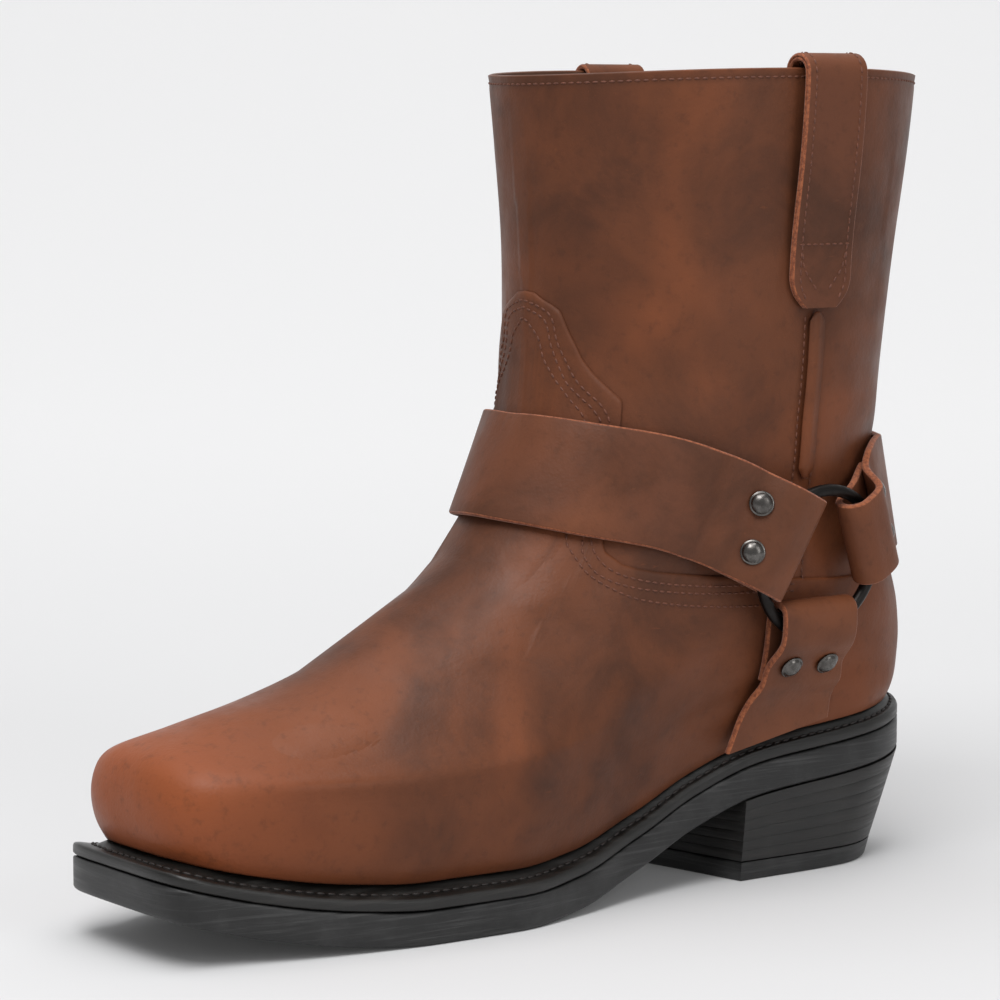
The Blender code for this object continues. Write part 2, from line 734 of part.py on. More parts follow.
class StrapEnd:
    """Where a strap folds round the ring, on one side of the boot.

    A swung end's leaves turn in towards the shaft behind the ring, and the fold
    has room for the ring's crest between them."""

    def __init__(self, seat, tilt, width, swing=0.0):
        turn = math.radians(tilt)
        self.side = seat.side
        self.half_width = 0.5 * width
        self.away = seat.forward * math.cos(turn) + seat.up * math.sin(turn)
        self.across = seat.up * math.cos(turn) - seat.forward * math.sin(turn)
        self.out = seat.out
        reach = math.sqrt(RING_RADIUS ** 2 - self.half_width ** 2)
        slant = 0.5 * RING_WIRE * (RING_RADIUS / reach - 1.0)
        reach -= slant
        self.wire_depth = RING_RADIUS + 0.5 * RING_WIRE - reach + RING_GAP
        angle = math.radians(swing)
        room = 0.5 * (RING_RADIUS - reach) * math.sin(angle)
        self.radius = fold_radius() + room
        self.fold = seat.centre + self.away * reach
        away, out = self.away, self.out
        self.away = away * math.cos(angle) - out * math.sin(angle)
        self.out = out * math.cos(angle) + away * math.sin(angle)
        self.fold = self.fold + self.out * room

    def leaf(self, distance, height):
        return self.fold + self.away * distance + self.out * height

    def bend(self, count=5):
        """Middle line of the half turn, from the outer leaf to the inner leaf."""
        points = []
        for k in range(1, count + 1):
            turn = math.pi * k / (count + 1)
            inward = self.away * self.radius * math.sin(turn)
            points.append(self.fold - inward + self.out * self.radius * math.cos(turn))
        return points


def clearance(tree, point, out, reach=0.03):
    """Height of a point over the surface below it, or None where there is none."""
    hit = tree.ray_cast(point + out * reach, -out, 3.0 * reach)
    return None if hit[0] is None else hit[3] - reach


def seated(tree, point, across, out, half_width, lift):
    """Lift a strap's middle point until its whole width clears the surface."""
    needed = 0.0
    for share in (-1.0, -0.5, 0.0, 0.5, 1.0):
        gap = clearance(tree, point + across * half_width * share, out)
        if gap is not None:
            needed = max(needed, -gap)
    return point + out * (needed + lift + 0.5 * STRAP_THICKNESS)


def wrapped_station(tree, side, angle, z, half_width, lift):
    """Middle point and width direction of a strap laid on the upper."""
    high = surface_hit(tree, side, angle, z + 0.8 * half_width)
    low = surface_hit(tree, side, angle, z - 0.8 * half_width)
    middle = surface_hit(tree, side, angle, z)
    across = (high - low).normalized()
    turn = math.radians(angle)
    along = Vector((side * math.sin(turn), math.cos(turn), 0.0))
    out = along.cross(across) * side
    out.normalize()
    if out.dot(middle - Vector((0.0, -seam_station(), z))) < 0.0:
        out = -out
    return seated(tree, middle, across, out, half_width, lift), across


def laid_leaf(end, tree, distance):
    """Middle point of the inner leaf at a distance, lying on the upper."""
    point = end.leaf(distance, -end.radius)
    on_surface = point - end.out * clearance(tree, point, end.out)
    return seated(tree, on_surface, end.across, end.out, end.half_width, STRAP_GAP)


def end_stations(end, tree, width_far):
    """Stations of a strap from its inner leaf's end, round the ring, and out again
    until its outer leaf has passed the inner one's end."""
    radius = end.radius
    tip = laid_leaf(end, tree, STRAP_LEAF)
    leaving = end.leaf(end.wire_depth, -radius)
    straight = leaving.lerp(tip, CLOSING_SHARE)
    closed = laid_leaf(end, tree, end.wire_depth + CLOSING_SHARE * (STRAP_LEAF - end.wire_depth))
    closed = closed + end.out * max((straight - closed).dot(end.out), 0.0)
    centres = [tip, closed, leaving, end.leaf(0.0, -radius)]
    centres += reversed(end.bend())
    centres += [end.leaf(0.0, radius), end.leaf(end.wire_depth, radius)]
    stations = [(centre, end.across, end.half_width) for centre in centres]
    run = (tip - closed).normalized()
    stack = end.out * (STRAP_THICKNESS + LEAF_GAP) / run.dot(end.away)
    stations.append((closed + stack, end.across, 0.5 * (end.half_width + 0.5 * width_far)))
    stations.append((tip + stack + run * LEAF_OVERRUN, end.across, 0.5 * width_far))
    return stations


def resampled(stations, count):
    """The same run of stations, evenly spaced on a smooth curve."""
    centres = np.array([tuple(row[0]) for row in stations])
    acrosses = np.array([tuple(row[1]) for row in stations])
    halves = np.array([row[2] for row in stations])
    length = np.concatenate([[0.0], np.cumsum(np.linalg.norm(np.diff(centres, axis=0), axis=1))])
    at = np.linspace(0.0, length[-1], count)
    centres = flowing(length, centres, at)
    acrosses = np.stack([np.interp(at, length, acrosses[:, k]) for k in range(3)], axis=1)
    halves = np.interp(at, length, halves)
    return [(Vector(c), Vector(a).normalized(), h) for c, a, h in zip(centres, acrosses, halves)]


def ribbon(name, stations, thickness, material, root):
    """Closed strap of even thickness along its stations."""
    points = []
    for i, (centre, across, half) in enumerate(stations):
        before = stations[max(i - 1, 0)][0]
        after = stations[min(i + 1, len(stations) - 1)][0]
        along = (after - before).normalized()
        face = along.cross(across).normalized() * 0.5 * thickness
        width = across * half
        points += [centre - width - face, centre + width - face, centre + width + face, centre - width + face]
    faces = [(0, 1, 2, 3)]
    for i in range(len(stations) - 1):
        faces += ring_faces(4 * i, 4 * (i + 1), 4)
    last = 4 * (len(stations) - 1)
    faces.append((last + 3, last + 2, last + 1, last))
    return add_object(name, points, faces, material, root)


def squared(stations):
    """Turn each station's width square to the strap's own direction."""
    result = []
    for i, (centre, across, half) in enumerate(stations):
        before = stations[max(i - 1, 0)][0]
        after = stations[min(i + 1, len(stations) - 1)][0]
        along = (after - before).normalized()
        face = along.cross(across).normalized()
        result.append((centre, face.cross(along).normalized(), half))
    return result


def lifted(stations, tree, minimum):
    """Push stations of a laid strap out wherever its width comes too close."""
    result = []
    for i, (centre, across, half) in enumerate(stations):
        before = stations[max(i - 1, 0)][0]
        after = stations[min(i + 1, len(stations) - 1)][0]
        out = (after - before).cross(across).normalized()
        if out.dot(centre - Vector((0.0, -seam_station(), centre.z))) < 0.0:
            out = -out
        short = 0.0
        for share in (-1.0, -0.5, 0.0, 0.5, 1.0):
            gap = clearance(tree, centre + across * half * share, out)
            if gap is not None:
                short = max(short, minimum + 0.5 * STRAP_THICKNESS - gap)
        result.append((centre + out * short, across, half))
    return result


def stations_within(curve, start, end):
    """How many of a curve's first stations don't reach well past its second one."""
    reach = (end[0] - start[0]).length + LEAF_RUNOUT
    count = 0
    for centre, across, half in curve:
        if (centre - start[0]).length > reach:
            break
        count += 1
    return count


def wrapped_strap(name, tree, ends, width, line, rise, material, root):
    """A strap from the outer ring round the boot to the inner ring."""
    half = 0.5 * width
    runs = []
    for side in (OUTER, INNER):
        near = end_stations(ends[side], tree, width)
        laid = []
        for angle, share in line:
            point, across = wrapped_station(tree, side, angle, RING_HEIGHT + rise * share, half, STRAP_GAP)
            laid.append((point, across, half))
        runs.append((near, laid))
    flip = math.copysign(1.0, ends[OUTER].across.z)
    laid = [(p, a * flip, h) for p, a, h in runs[0][1]]
    laid += [(p, a * flip, h) for p, a, h in reversed(runs[1][1][:-1])]
    near_outer = runs[0][0]
    near_inner = list(reversed(runs[1][0]))
    curve = squared(resampled(near_outer[-2:] + laid + near_inner[:2], 44))
    first = stations_within(curve, near_outer[-2], near_outer[-1])
    last = stations_within(reversed(curve), near_inner[1], near_inner[0])
    curve = lifted(curve[first:len(curve) - last], tree, STRAP_GAP)
    return ribbon(name, near_outer + curve + near_inner, STRAP_THICKNESS, material, root)


def ring_strap(name, seat, tree, material, root):
    """The strap from the ring down to the sole."""
    side = seat.side
    end = StrapEnd(seat, RING_STRAP_TILT, RING_STRAP_END)
    near = end_stations(end, tree, RING_STRAP_WAIST)
    foot_station = RING_STATION + RING_STRAP_LEAN
    half_foot = 0.5 * RING_STRAP_FOOT
    slope = (feather(foot_station + half_foot) - feather(foot_station - half_foot)) / RING_STRAP_FOOT
    spread = np.linspace(-half_foot, half_foot, 7)
    foot_height = max(feather(foot_station + x) - slope * x for x in spread) + STRAP_GAP
    foot_across = Vector((0.0, -1.0, slope)).normalized()
    start = near[-1][0]
    laid = []
    for share in (0.5, 1.0):
        z = start.z + share * (foot_height - start.z)
        s = -start.y + share * (foot_station + start.y)
        half = 0.5 * (RING_STRAP_WAIST + share * (RING_STRAP_FOOT - RING_STRAP_WAIST))
        across = end.across.lerp(foot_across, share).normalized()
        out = Vector((side, 0.0, 0.0))
        hit = tree.ray_cast(Vector((side * OUTSIDE, -s, z)), -out, 2.0 * OUTSIDE)
        laid.append((seated(tree, hit[0], across, out, half, STRAP_GAP), across, half))
    curve = resampled(near[-1:] + laid, 6)
    curve = curve[:1] + lifted(curve[1:], tree, STRAP_GAP)
    return ribbon(name, near[:-1] + curve, STRAP_THICKNESS, material, root)


def build_ring(name, seat, material, root):
    bpy.ops.mesh.primitive_torus_add(
        major_radius=RING_RADIUS,
        minor_radius=0.5 * RING_WIRE,
        major_segments=32,
        minor_segments=8,
        location=seat.centre,
        rotation=seat.out.to_track_quat("Z", "Y").to_euler(),
    )
    made = bpy.context.active_object
    made.name = name
    made.data.name = name
    made.data.shade_smooth()
    made.data.materials.append(material)
    for owner in list(made.users_collection):
        owner.objects.unlink(made)
    parts_collection().objects.link(made)
    made.parent = root
    return made


def rivet_mesh(material):
    """Domed cap with a flat base, turned about z."""
    profile = [(0.0, 0.0), (1.0, 0.0), (1.0, 0.30), (0.86, 0.62), (0.50, 0.92), (0.0, 1.0)]
    builder = bmesh.new()
    count = 14
    rows = []
    for radius, height in profile[1:-1]:
        row = []
        for k in range(count):
            turn = 2.0 * math.pi * k / count
            x = RIVET_RADIUS * radius * math.cos(turn)
            y = RIVET_RADIUS * radius * math.sin(turn)
            row.append(builder.verts.new((x, y, RIVET_HEIGHT * height)))
        rows.append(row)
    base = builder.verts.new((0.0, 0.0, 0.0))
    crown = builder.verts.new((0.0, 0.0, RIVET_HEIGHT))
    for k in range(count):
        n = (k + 1) % count
        builder.faces.new((base, rows[0][n], rows[0][k]))
        for low, high in zip(rows, rows[1:]):
            builder.faces.new((low[k], low[n], high[n], high[k]))
        builder.faces.new((rows[-1][k], rows[-1][n], crown))
    mesh = bpy.data.meshes.new("rivet")
    builder.to_mesh(mesh)
    builder.free()
    mesh.shade_smooth()
    mesh.set_sharp_from_angle(angle=0.9)
    mesh.materials.append(material)
    return mesh


def cap_seat(tree, spot, end):
    """Place and direction of a cap whose whole base clears the strap."""
    below = [tree.ray_cast(spot + end.out * RAY_REACH, -end.out, 2.0 * RAY_REACH)[0]]
    rim = []
    for k in range(CAP_RAYS):
        turn = 2.0 * math.pi * k / CAP_RAYS
        offset = (end.away * math.cos(turn) + end.across * math.sin(turn)) * RIVET_RADIUS
        rim.append(tree.ray_cast(spot + offset + end.out * RAY_REACH, -end.out, 2.0 * RAY_REACH)[0])
        half_way = spot + 0.5 * offset + end.out * RAY_REACH
        below.append(tree.ray_cast(half_way, -end.out, 2.0 * RAY_REACH)[0])
    quarter = CAP_RAYS // 4
    normal = (rim[0] - rim[2 * quarter]).cross(rim[quarter] - rim[3 * quarter]).normalized()
    if normal.dot(end.out) < 0.0:
        normal = -normal
    centre = sum(rim, Vector()) / len(rim)
    height = max((point - centre).dot(normal) for point in rim + below)
    return centre + normal * (height + SEAT_GAP), normal


def build_rivets(name, mesh, strap, ends, skew, root):
    """Two caps on the outer leaf of a strap, at each ring that it reaches."""
    tree = tree_of(strap)
    for side_name, end in ends:
        for letter, share in (("a", 1.0), ("b", -1.0)):
            spot = end.leaf(RIVET_SETBACK + skew * share, 0.0) + end.across * RIVET_SPREAD * share
            place, normal = cap_seat(tree, spot, end)
            made = bpy.data.objects.new(name + "_" + side_name + "_" + letter, mesh)
            made.location = place
            made.rotation_euler = normal.to_track_quat("Z", "Y").to_euler()
            parts_collection().objects.link(made)
            made.parent = root


# Pull straps and side seams

def shaft_side(tree, side, z, s=None):
    """Outside and inside of the shaft's side at height z, off the centre line."""
    s = PULL_STATION if s is None else s
    out = Vector((side, 0.0, 0.0))
    outside = tree.ray_cast(Vector((side * OUTSIDE, -s, z)), -out, 2.0 * OUTSIDE)[0]
    inside = tree.ray_cast(Vector((0.0, -s, z)), out, 2.0 * OUTSIDE)[0]
    return side * outside.x, side * inside.x


def pull_sides(tree, side, z):
    """Outside and inside of the shaft that a pull strap's whole width clears."""
    edges = [
        shaft_side(tree, side, z, PULL_STATION + 0.5 * PULL_WIDTH * share) for share in (-1.0, 0.0, 1.0)
    ]
    return max(edge[0] for edge in edges), min(edge[1] for edge in edges)


def build_pull_strap(name, side, tree, material, root):
    """Strap from the shaft's outside over the rim to its inside."""
    rim = collar(PULL_STATION)
    low = rim - PULL_LENGTH + PULL_RISE
    rise, thickness, slack_room = PULL_LOOPS[side]
    half = 0.5 * thickness
    outside, inside = pull_sides(tree, side, rim - 0.002)
    crown = rim + rise
    bend = 0.5 * (outside - inside) + STRAP_GAP + half + 0.5 * slack_room
    middle = 0.5 * (outside + inside) + 0.5 * slack_room
    points = []
    for share, slack in ((0.0, 0.0), (0.16, 0.03), (0.34, 0.35), (0.55, 0.80), (0.75, 1.0), (0.92, 1.0)):
        z = low + share * (rim - low)
        x = pull_sides(tree, side, z)[0] + STRAP_GAP + half + slack_room * slack
        points.append((x, z))
    for k in range(0, 7):
        turn = math.pi * k / 6.0
        points.append((middle + bend * math.cos(turn), crown - half - bend + bend * math.sin(turn)))
    for share in (0.85, 0.62, 0.38, 0.16, 0.0):
        z = low + share * (rim - low)
        x = pull_sides(tree, side, z)[1] - STRAP_GAP - half
        points.append((x, z))
    across = Vector((0.0, 1.0, 0.0))
    total = len(points)
    stations = []
    for i, (x, z) in enumerate(points):
        end_share = 0.62 if i in (0, total - 1) else 1.0
        stations.append((Vector((side * x, -PULL_STATION, z)), across, 0.5 * PULL_WIDTH * end_share))
    first, second = stations[0], stations[1]
    stations.insert(1, (first[0].lerp(second[0], 0.35), across, 0.5 * PULL_WIDTH * 0.92))
    stations.insert(-1, (stations[-1][0].lerp(stations[-2][0], 0.35), across, 0.5 * PULL_WIDTH * 0.92))
    return ribbon(name, stations, thickness, material, root)


def build_side_seam(name, side, tree, material, root):
    """Raised strip over the side seam, from the pull strap down to the ring."""
    high = collar(PULL_STATION) - PULL_LENGTH + PULL_RISE - SEAM_CLEARANCE
    low = RING_HEIGHT + RING_RADIUS + 0.5 * RING_WIRE + SEAM_CLEARANCE
    across = Vector((0.0, 1.0, 0.0))
    stations = []
    for share in (0.0, 0.03, 0.18, 0.36, 0.54, 0.72, 0.88, 1.0):
        z = low + share * (high - low)
        s = RING_STATION + SEAM_LEAN + share * (PULL_STATION - RING_STATION - SEAM_LEAN)
        x = shaft_side(tree, side, z, s)[0] + STRAP_GAP + 0.5 * SEAM_THICKNESS
        half = 0.5 * SEAM_WIDTH * (0.6 if share == 0.0 else 1.0)
        stations.append((Vector((side * x, -s, z)), across, half))
    return ribbon(name, stations, SEAM_THICKNESS, material, root)


def centre_on_floor(root):
    """Move the whole boot so that the middle of its box's underside is the origin."""
    bpy.context.view_layer.update()
    corners = []
    for made in parts_collection().objects:
        if made.type == "MESH":
            corners += [made.matrix_world @ vertex.co for vertex in made.data.vertices]
    low = [min(corner[k] for corner in corners) for k in range(3)]
    high = [max(corner[k] for corner in corners) for k in range(3)]
    root.location = (-0.5 * (low[0] + high[0]), -0.5 * (low[1] + high[1]), -low[2])


def main():
    for old in list(bpy.data.objects):
        bpy.data.objects.remove(old)
    root = bpy.data.objects.new("boot_frame", None)
    parts_collection().objects.link(root)
    leather = finish_material("oiled_leather", (0.18, 0.07, 0.04), 0.55)
    strap_leather = finish_material("harness_leather", (0.15, 0.06, 0.035), 0.55)
    rubber = finish_material("black_rubber", (0.02, 0.02, 0.02), 0.6)
    stack = finish_material("stacked_heel", (0.025, 0.022, 0.02), 0.5)
    edge = finish_material("black_welt", (0.022, 0.021, 0.02), 0.5)
    lining = finish_material("insole_leather", (0.35, 0.22, 0.13), 0.8)
    iron = finish_material("blackened_ring", (0.05, 0.05, 0.055), 0.4, 1.0)
    gunmetal = finish_material("gunmetal_rivet", (0.12, 0.12, 0.13), 0.3, 1.0)

    build_outsole(rubber, root)
    build_welt(edge, root)
    build_heel(stack, rubber, root)
    build_insole(lining, root)
    upper = build_upper(leather, root)
    tree = tree_of(upper)
    seats = {OUTER: RingSeat(tree, OUTER), INNER: RingSeat(tree, INNER)}

    sides = (("outer", OUTER), ("inner", INNER))
    front_ends = {}
    back_ends = {}
    for side in seats:
        front_ends[side] = StrapEnd(seats[side], FRONT_STRAP_TILT, FRONT_STRAP_END)
        back_ends[side] = StrapEnd(seats[side], BACK_STRAP_TILT, BACK_STRAP_END, BACK_STRAP_SWING)
    front = wrapped_strap(
        "front_strap", tree, front_ends, STRAP_WIDTH, FRONT_STRAP_LINE, FRONT_STRAP_RISE, strap_leather, root,
    )
    back = wrapped_strap(
        "back_strap", tree, back_ends, BACK_STRAP_WIDTH, BACK_STRAP_LINE, BACK_STRAP_RISE, strap_leather, root,
    )
    rivet = rivet_mesh(gunmetal)
    for name, strap, ends, skew in (
        ("rivet_front", front, front_ends, RIVET_SKEW),
        ("rivet_back", back, back_ends, 0.0),
    ):
        build_rivets(name, rivet, strap, [(side_name, ends[side]) for side_name, side in sides], skew, root)
    for side_name, side in sides:
        down = ring_strap("ring_strap_" + side_name, seats[side], tree, strap_leather, root)
        end = StrapEnd(seats[side], RING_STRAP_TILT, RING_STRAP_END)
        build_rivets("rivet_ring", rivet, down, [(side_name, end)], 0.0, root)
        build_ring("ring_" + side_name, seats[side], iron, root)
        build_pull_strap("pull_strap_" + side_name, side, tree, strap_leather, root)
        build_side_seam("side_seam_" + side_name, side, tree, leather, root)
    centre_on_floor(root)


main()
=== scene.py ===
"""Looks of the harness boot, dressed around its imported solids.

The boot's surfaces are worked out again from the same tables as the solids, at
a finer pitch.  Working frame: x runs to the outer side, y = -s with s measured
forwards from the heel's back, z is up.  Every piece is moved to the row frame
when its mesh is made.
"""

import math

import bmesh
import bpy
import numpy as np
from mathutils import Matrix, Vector
from mathutils.bvhtree import BVHTree
from mathutils.kdtree import KDTree


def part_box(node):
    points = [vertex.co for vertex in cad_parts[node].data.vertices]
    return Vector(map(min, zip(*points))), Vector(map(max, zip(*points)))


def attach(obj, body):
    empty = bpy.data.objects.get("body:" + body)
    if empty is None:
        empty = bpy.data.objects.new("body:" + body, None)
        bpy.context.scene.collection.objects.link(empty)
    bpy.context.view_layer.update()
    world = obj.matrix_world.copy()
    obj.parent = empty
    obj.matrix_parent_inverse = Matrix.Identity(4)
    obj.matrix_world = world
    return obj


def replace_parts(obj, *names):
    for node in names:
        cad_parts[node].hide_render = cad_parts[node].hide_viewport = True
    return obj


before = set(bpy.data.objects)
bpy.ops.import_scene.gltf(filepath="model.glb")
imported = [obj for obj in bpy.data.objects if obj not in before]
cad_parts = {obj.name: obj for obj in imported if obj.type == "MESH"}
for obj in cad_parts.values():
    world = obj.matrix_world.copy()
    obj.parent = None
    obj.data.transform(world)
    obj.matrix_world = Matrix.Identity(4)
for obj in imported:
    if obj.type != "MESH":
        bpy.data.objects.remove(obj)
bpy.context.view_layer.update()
ROOT = "root"

# Sole: lengths along the foot, widths across it, heights above the floor
SOLE_LENGTH = 0.3055
TOE_WIDTH = 0.0698
BALL_WIDTH = 0.1027
WAIST_WIDTH = 0.0623
HEEL_WIDTH = 0.0725
HEEL_HEIGHT = 0.0389
TOE_SPRING = 0.0155
OUTSOLE_EDGE = 0.0108
WELT_EDGE = 0.0040
WELT_RISE = 0.0030
TOE_MARGIN = 0.0085
WAIST_MARGIN = 0.0050
HEEL_MARGIN = 0.0036

# Heel block and the rubber lift under it
HEEL_BREAST = 0.0849
HEEL_BACK_RAKE = 0.0119
HEEL_SIDE_RAKE = 0.0028
HEEL_BACK_TAPER = 0.0050
BREAST_SKEW = 0.0100
LIFT_THICKNESS = 0.0065

# Upper: the shaft is an oval tube that runs forwards into the vamp
COLLAR_HEIGHT = 0.2660
COLLAR_BOW = 0.0025
SHAFT_LENGTH = 0.1568
SHAFT_WIDTH = 0.1168
SHAFT_BACK = -0.0022
UPPER_WALL = 0.0020
OVERLAY = 0.0013

# Pieces that lie on each other keep this gap
SEAT_GAP = 0.0003
FEATHER_GAP = 0.0007
STRAP_GAP = 0.0008
RING_GAP = 0.0007

# Harness: three straps meet at a ring on each side
STRAP_WIDTH = 0.0365
BACK_STRAP_WIDTH = 0.0385
STRAP_THICKNESS = 0.0025
STRAP_LEAF = 0.0230
LEAF_GAP = 0.0004
LEAF_OVERRUN = 0.0010
LEAF_RUNOUT = 0.0070
CLOSING_SHARE = 0.70
RING_RADIUS = 0.0240
RING_WIRE = 0.0040
RING_STATION = 0.0700
RING_LEAN = 9.0
RING_HEIGHT = 0.1085
FRONT_STRAP_TILT = 25.0
FRONT_STRAP_END = 0.0362
FRONT_STRAP_RISE = 0.0307
BACK_STRAP_TILT = 157.0
BACK_STRAP_END = 0.0300
BACK_STRAP_RISE = 0.0175
BACK_STRAP_SWING = 24.0
RING_STRAP_TILT = -90.0
RING_STRAP_END = 0.0310
RING_STRAP_WAIST = 0.0340
RING_STRAP_FOOT = 0.0440
RING_STRAP_LEAN = 0.0045
RIVET_RADIUS = 0.0041
RIVET_HEIGHT = 0.0022
RIVET_SPREAD = 0.0077
RIVET_SETBACK = 0.0172
RIVET_SKEW = 0.0016

# Pull straps at the rim and the raised seam below each
PULL_WIDTH = 0.0250
PULL_THICKNESS = 0.0026
PULL_LENGTH = 0.0820
PULL_RISE = 0.0052
PULL_SLACK = 0.0022
PULL_STATION = 0.0722
SEAM_WIDTH = 0.0062
SEAM_THICKNESS = 0.0014
SEAM_CLEARANCE = 0.0012
SEAM_LEAN = 0.0030

# Rays that find a surface start this far outside it, or outside the whole boot
RAY_REACH = 0.05
OUTSIDE = 0.20
CAP_RAYS = 24

OUTER = 1
INNER = -1

# The inner pull strap lies flat over the rim, since none stands above it in the photo
PULL_LOOPS = {
    # side: rise above the rim, thickness, slack
    OUTER: (PULL_RISE, PULL_THICKNESS, PULL_SLACK),
    INNER: (0.0027, 0.0018, 0.0006),
}

# Plan of the sole: station as a share of its length, and on each side of the
# centre line the half width as a share of the width that it follows
PLAN = [
    # station, width it follows, outer side, inner side
    (0.000, HEEL_WIDTH, 0.510, 0.490),
    (0.147, HEEL_WIDTH, 0.510, 0.490),
    (0.262, HEEL_WIDTH, 0.484, 0.450),
    (0.344, WAIST_WIDTH, 0.535, 0.466),
    (0.426, WAIST_WIDTH, 0.571, 0.482),
    (0.524, BALL_WIDTH, 0.419, 0.370),
    (0.622, BALL_WIDTH, 0.478, 0.467),
    (0.704, BALL_WIDTH, 0.474, 0.526),
    (0.770, BALL_WIDTH, 0.455, 0.516),
    (0.868, TOE_WIDTH, 0.601, 0.645),
    (0.949, TOE_WIDTH, 0.520, 0.520),
    (1.000, TOE_WIDTH, 0.490, 0.500),
]
PLAN_NOSE = 0.0140
PLAN_NOSE_FULLNESS = 3.6
PLAN_TAIL = 0.0360

# Underside of the outsole, as shares of the heel height and the toe spring
UNDERSIDE = [
    # station, heel share, spring share
    (0.000, 1.000, 0.000),
    (0.131, 0.859, 0.000),
    (0.262, 0.738, 0.000),
    (0.344, 0.524, 0.000),
    (0.426, 0.260, 0.000),
    (0.524, 0.051, 0.000),
    (0.598, 0.000, 0.000),
    (0.722, 0.000, 0.000),
    (0.802, 0.000, 0.130),
    (0.900, 0.000, 0.465),
    (1.000, 0.000, 1.000),
]

# Rows of the upper, from the feather edge on the welt up to the collar.  A rise
# is a share of the height from feather edge to collar.  Reach is the front's
# share of the way from the shaft's front (0) to the feather edge's toe (1), and
# tuck the back's share of the shaft's length.  Toe to heel are half widths, as
# shares of the feather edge's mixed with the shaft's.  Nose and tail are the
# lengths that round off, as shares of the sole's and the shaft's lengths.
ROWS = [
    # front, back, reach, tuck, toe, ball, waist, heel, shaft, nose, full, tip, tail
    (0.0000, 0.0000, 1.000, 0.045, 1.02, 1.00, 1.00, 1.00, 0.00, 0.058, 3.10, 0.35, 0.23),
    (0.0235, 0.0134, 1.022, 0.036, 1.12, 1.08, 1.06, 1.03, 0.00, 0.062, 3.10, 0.35, 0.23),
    (0.0576, 0.0326, 1.031, 0.028, 1.18, 1.13, 1.12, 1.05, 0.00, 0.066, 3.10, 0.35, 0.23),
    (0.0917, 0.0541, 1.024, 0.023, 1.20, 1.16, 1.19, 1.07, 0.00, 0.078, 3.00, 0.36, 0.24),
    (0.1220, 0.0757, 0.995, 0.021, 1.19, 1.17, 1.24, 1.08, 0.00, 0.120, 2.60, 0.37, 0.24),
    (0.1520, 0.0996, 0.915, 0.022, 1.16, 1.16, 1.27, 1.08, 0.05, 0.270, 2.00, 0.41, 0.25),
    (0.1830, 0.1284, 0.790, 0.027, 1.12, 1.14, 1.26, 1.08, 0.10, 0.390, 1.80, 0.44, 0.26),
    (0.2120, 0.1619, 0.655, 0.036, 1.08, 1.12, 1.21, 1.06, 0.20, 0.420, 1.70, 0.46, 0.28),
    (0.2452, 0.2002, 0.518, 0.047, 1.04, 1.06, 1.10, 0.98, 0.35, 0.410, 1.65, 0.47, 0.31),
    (0.2895, 0.2433, 0.375, 0.060, 1.00, 0.98, 1.00, 0.92, 0.50, 0.350, 1.70, 0.48, 0.35),
    (0.3414, 0.2912, 0.235, 0.073, 0.94, 0.93, 0.925, 0.875, 0.65, 0.290, 1.80, 0.49, 0.39),
    (0.4003, 0.3487, 0.110, 0.084, 0.90, 0.90, 0.89, 0.865, 0.80, 0.250, 1.90, 0.50, 0.42),
    (0.4694, 0.4157, 0.025, 0.090, 0.875, 0.875, 0.87, 0.865, 0.95, 0.235, 2.00, 0.50, 0.44),
    (0.5480, 0.4971, -0.022, 0.088, 0.885, 0.885, 0.883, 0.882, 1.00, 0.233, 2.00, 0.50, 0.45),
    (0.6379, 0.5929, -0.031, 0.073, 0.907, 0.907, 0.907, 0.907, 1.00, 0.235, 2.00, 0.50, 0.46),
    (0.7407, 0.7079, -0.029, 0.046, 0.930, 0.930, 0.930, 0.930, 1.00, 0.240, 2.00, 0.50, 0.48),
    (0.8600, 0.8420, -0.020, 0.020, 0.962, 0.962, 0.962, 0.962, 1.00, 0.248, 2.00, 0.50, 0.49),
    (1.0000, 1.0000, 0.000, 0.000, 1.000, 1.000, 1.000, 1.000, 1.00, 0.257, 2.00, 0.50, 0.50),
]
WIDTH_STATIONS = (0.868, 0.671, 0.386, 0.147)
# A full turn of the section draws its columns together as this much length would
TURN_LENGTH = 0.012
TOP_ROW = len(ROWS) - 1


def steady(points, x):
    """Read a table's curve without overshoot, for profiles with flat stretches."""
    xs = np.array([p[0] for p in points], dtype=float)
    ys = np.array([p[1] for p in points], dtype=float)
    step = np.diff(xs)
    slope = np.diff(ys) / step
    tangent = np.zeros(len(xs))
    for i in range(1, len(xs) - 1):
        if slope[i - 1] * slope[i] > 0.0:
            before = 2.0 * step[i] + step[i - 1]
            after = step[i] + 2.0 * step[i - 1]
            tangent[i] = (before + after) / (before / slope[i - 1] + after / slope[i])
    tangent[0] = slope[0]
    tangent[-1] = slope[-1]
    x = np.clip(np.asarray(x, dtype=float), xs[0], xs[-1])
    i = np.clip(np.searchsorted(xs, x, side="right") - 1, 0, len(step) - 1)
    t = (x - xs[i]) / step[i]
    return (
        ys[i] * (1 + 2 * t) * (1 - t) ** 2
        + tangent[i] * step[i] * t * (1 - t) ** 2
        + ys[i + 1] * t * t * (3 - 2 * t)
        + tangent[i + 1] * step[i] * t * t * (t - 1)
    )


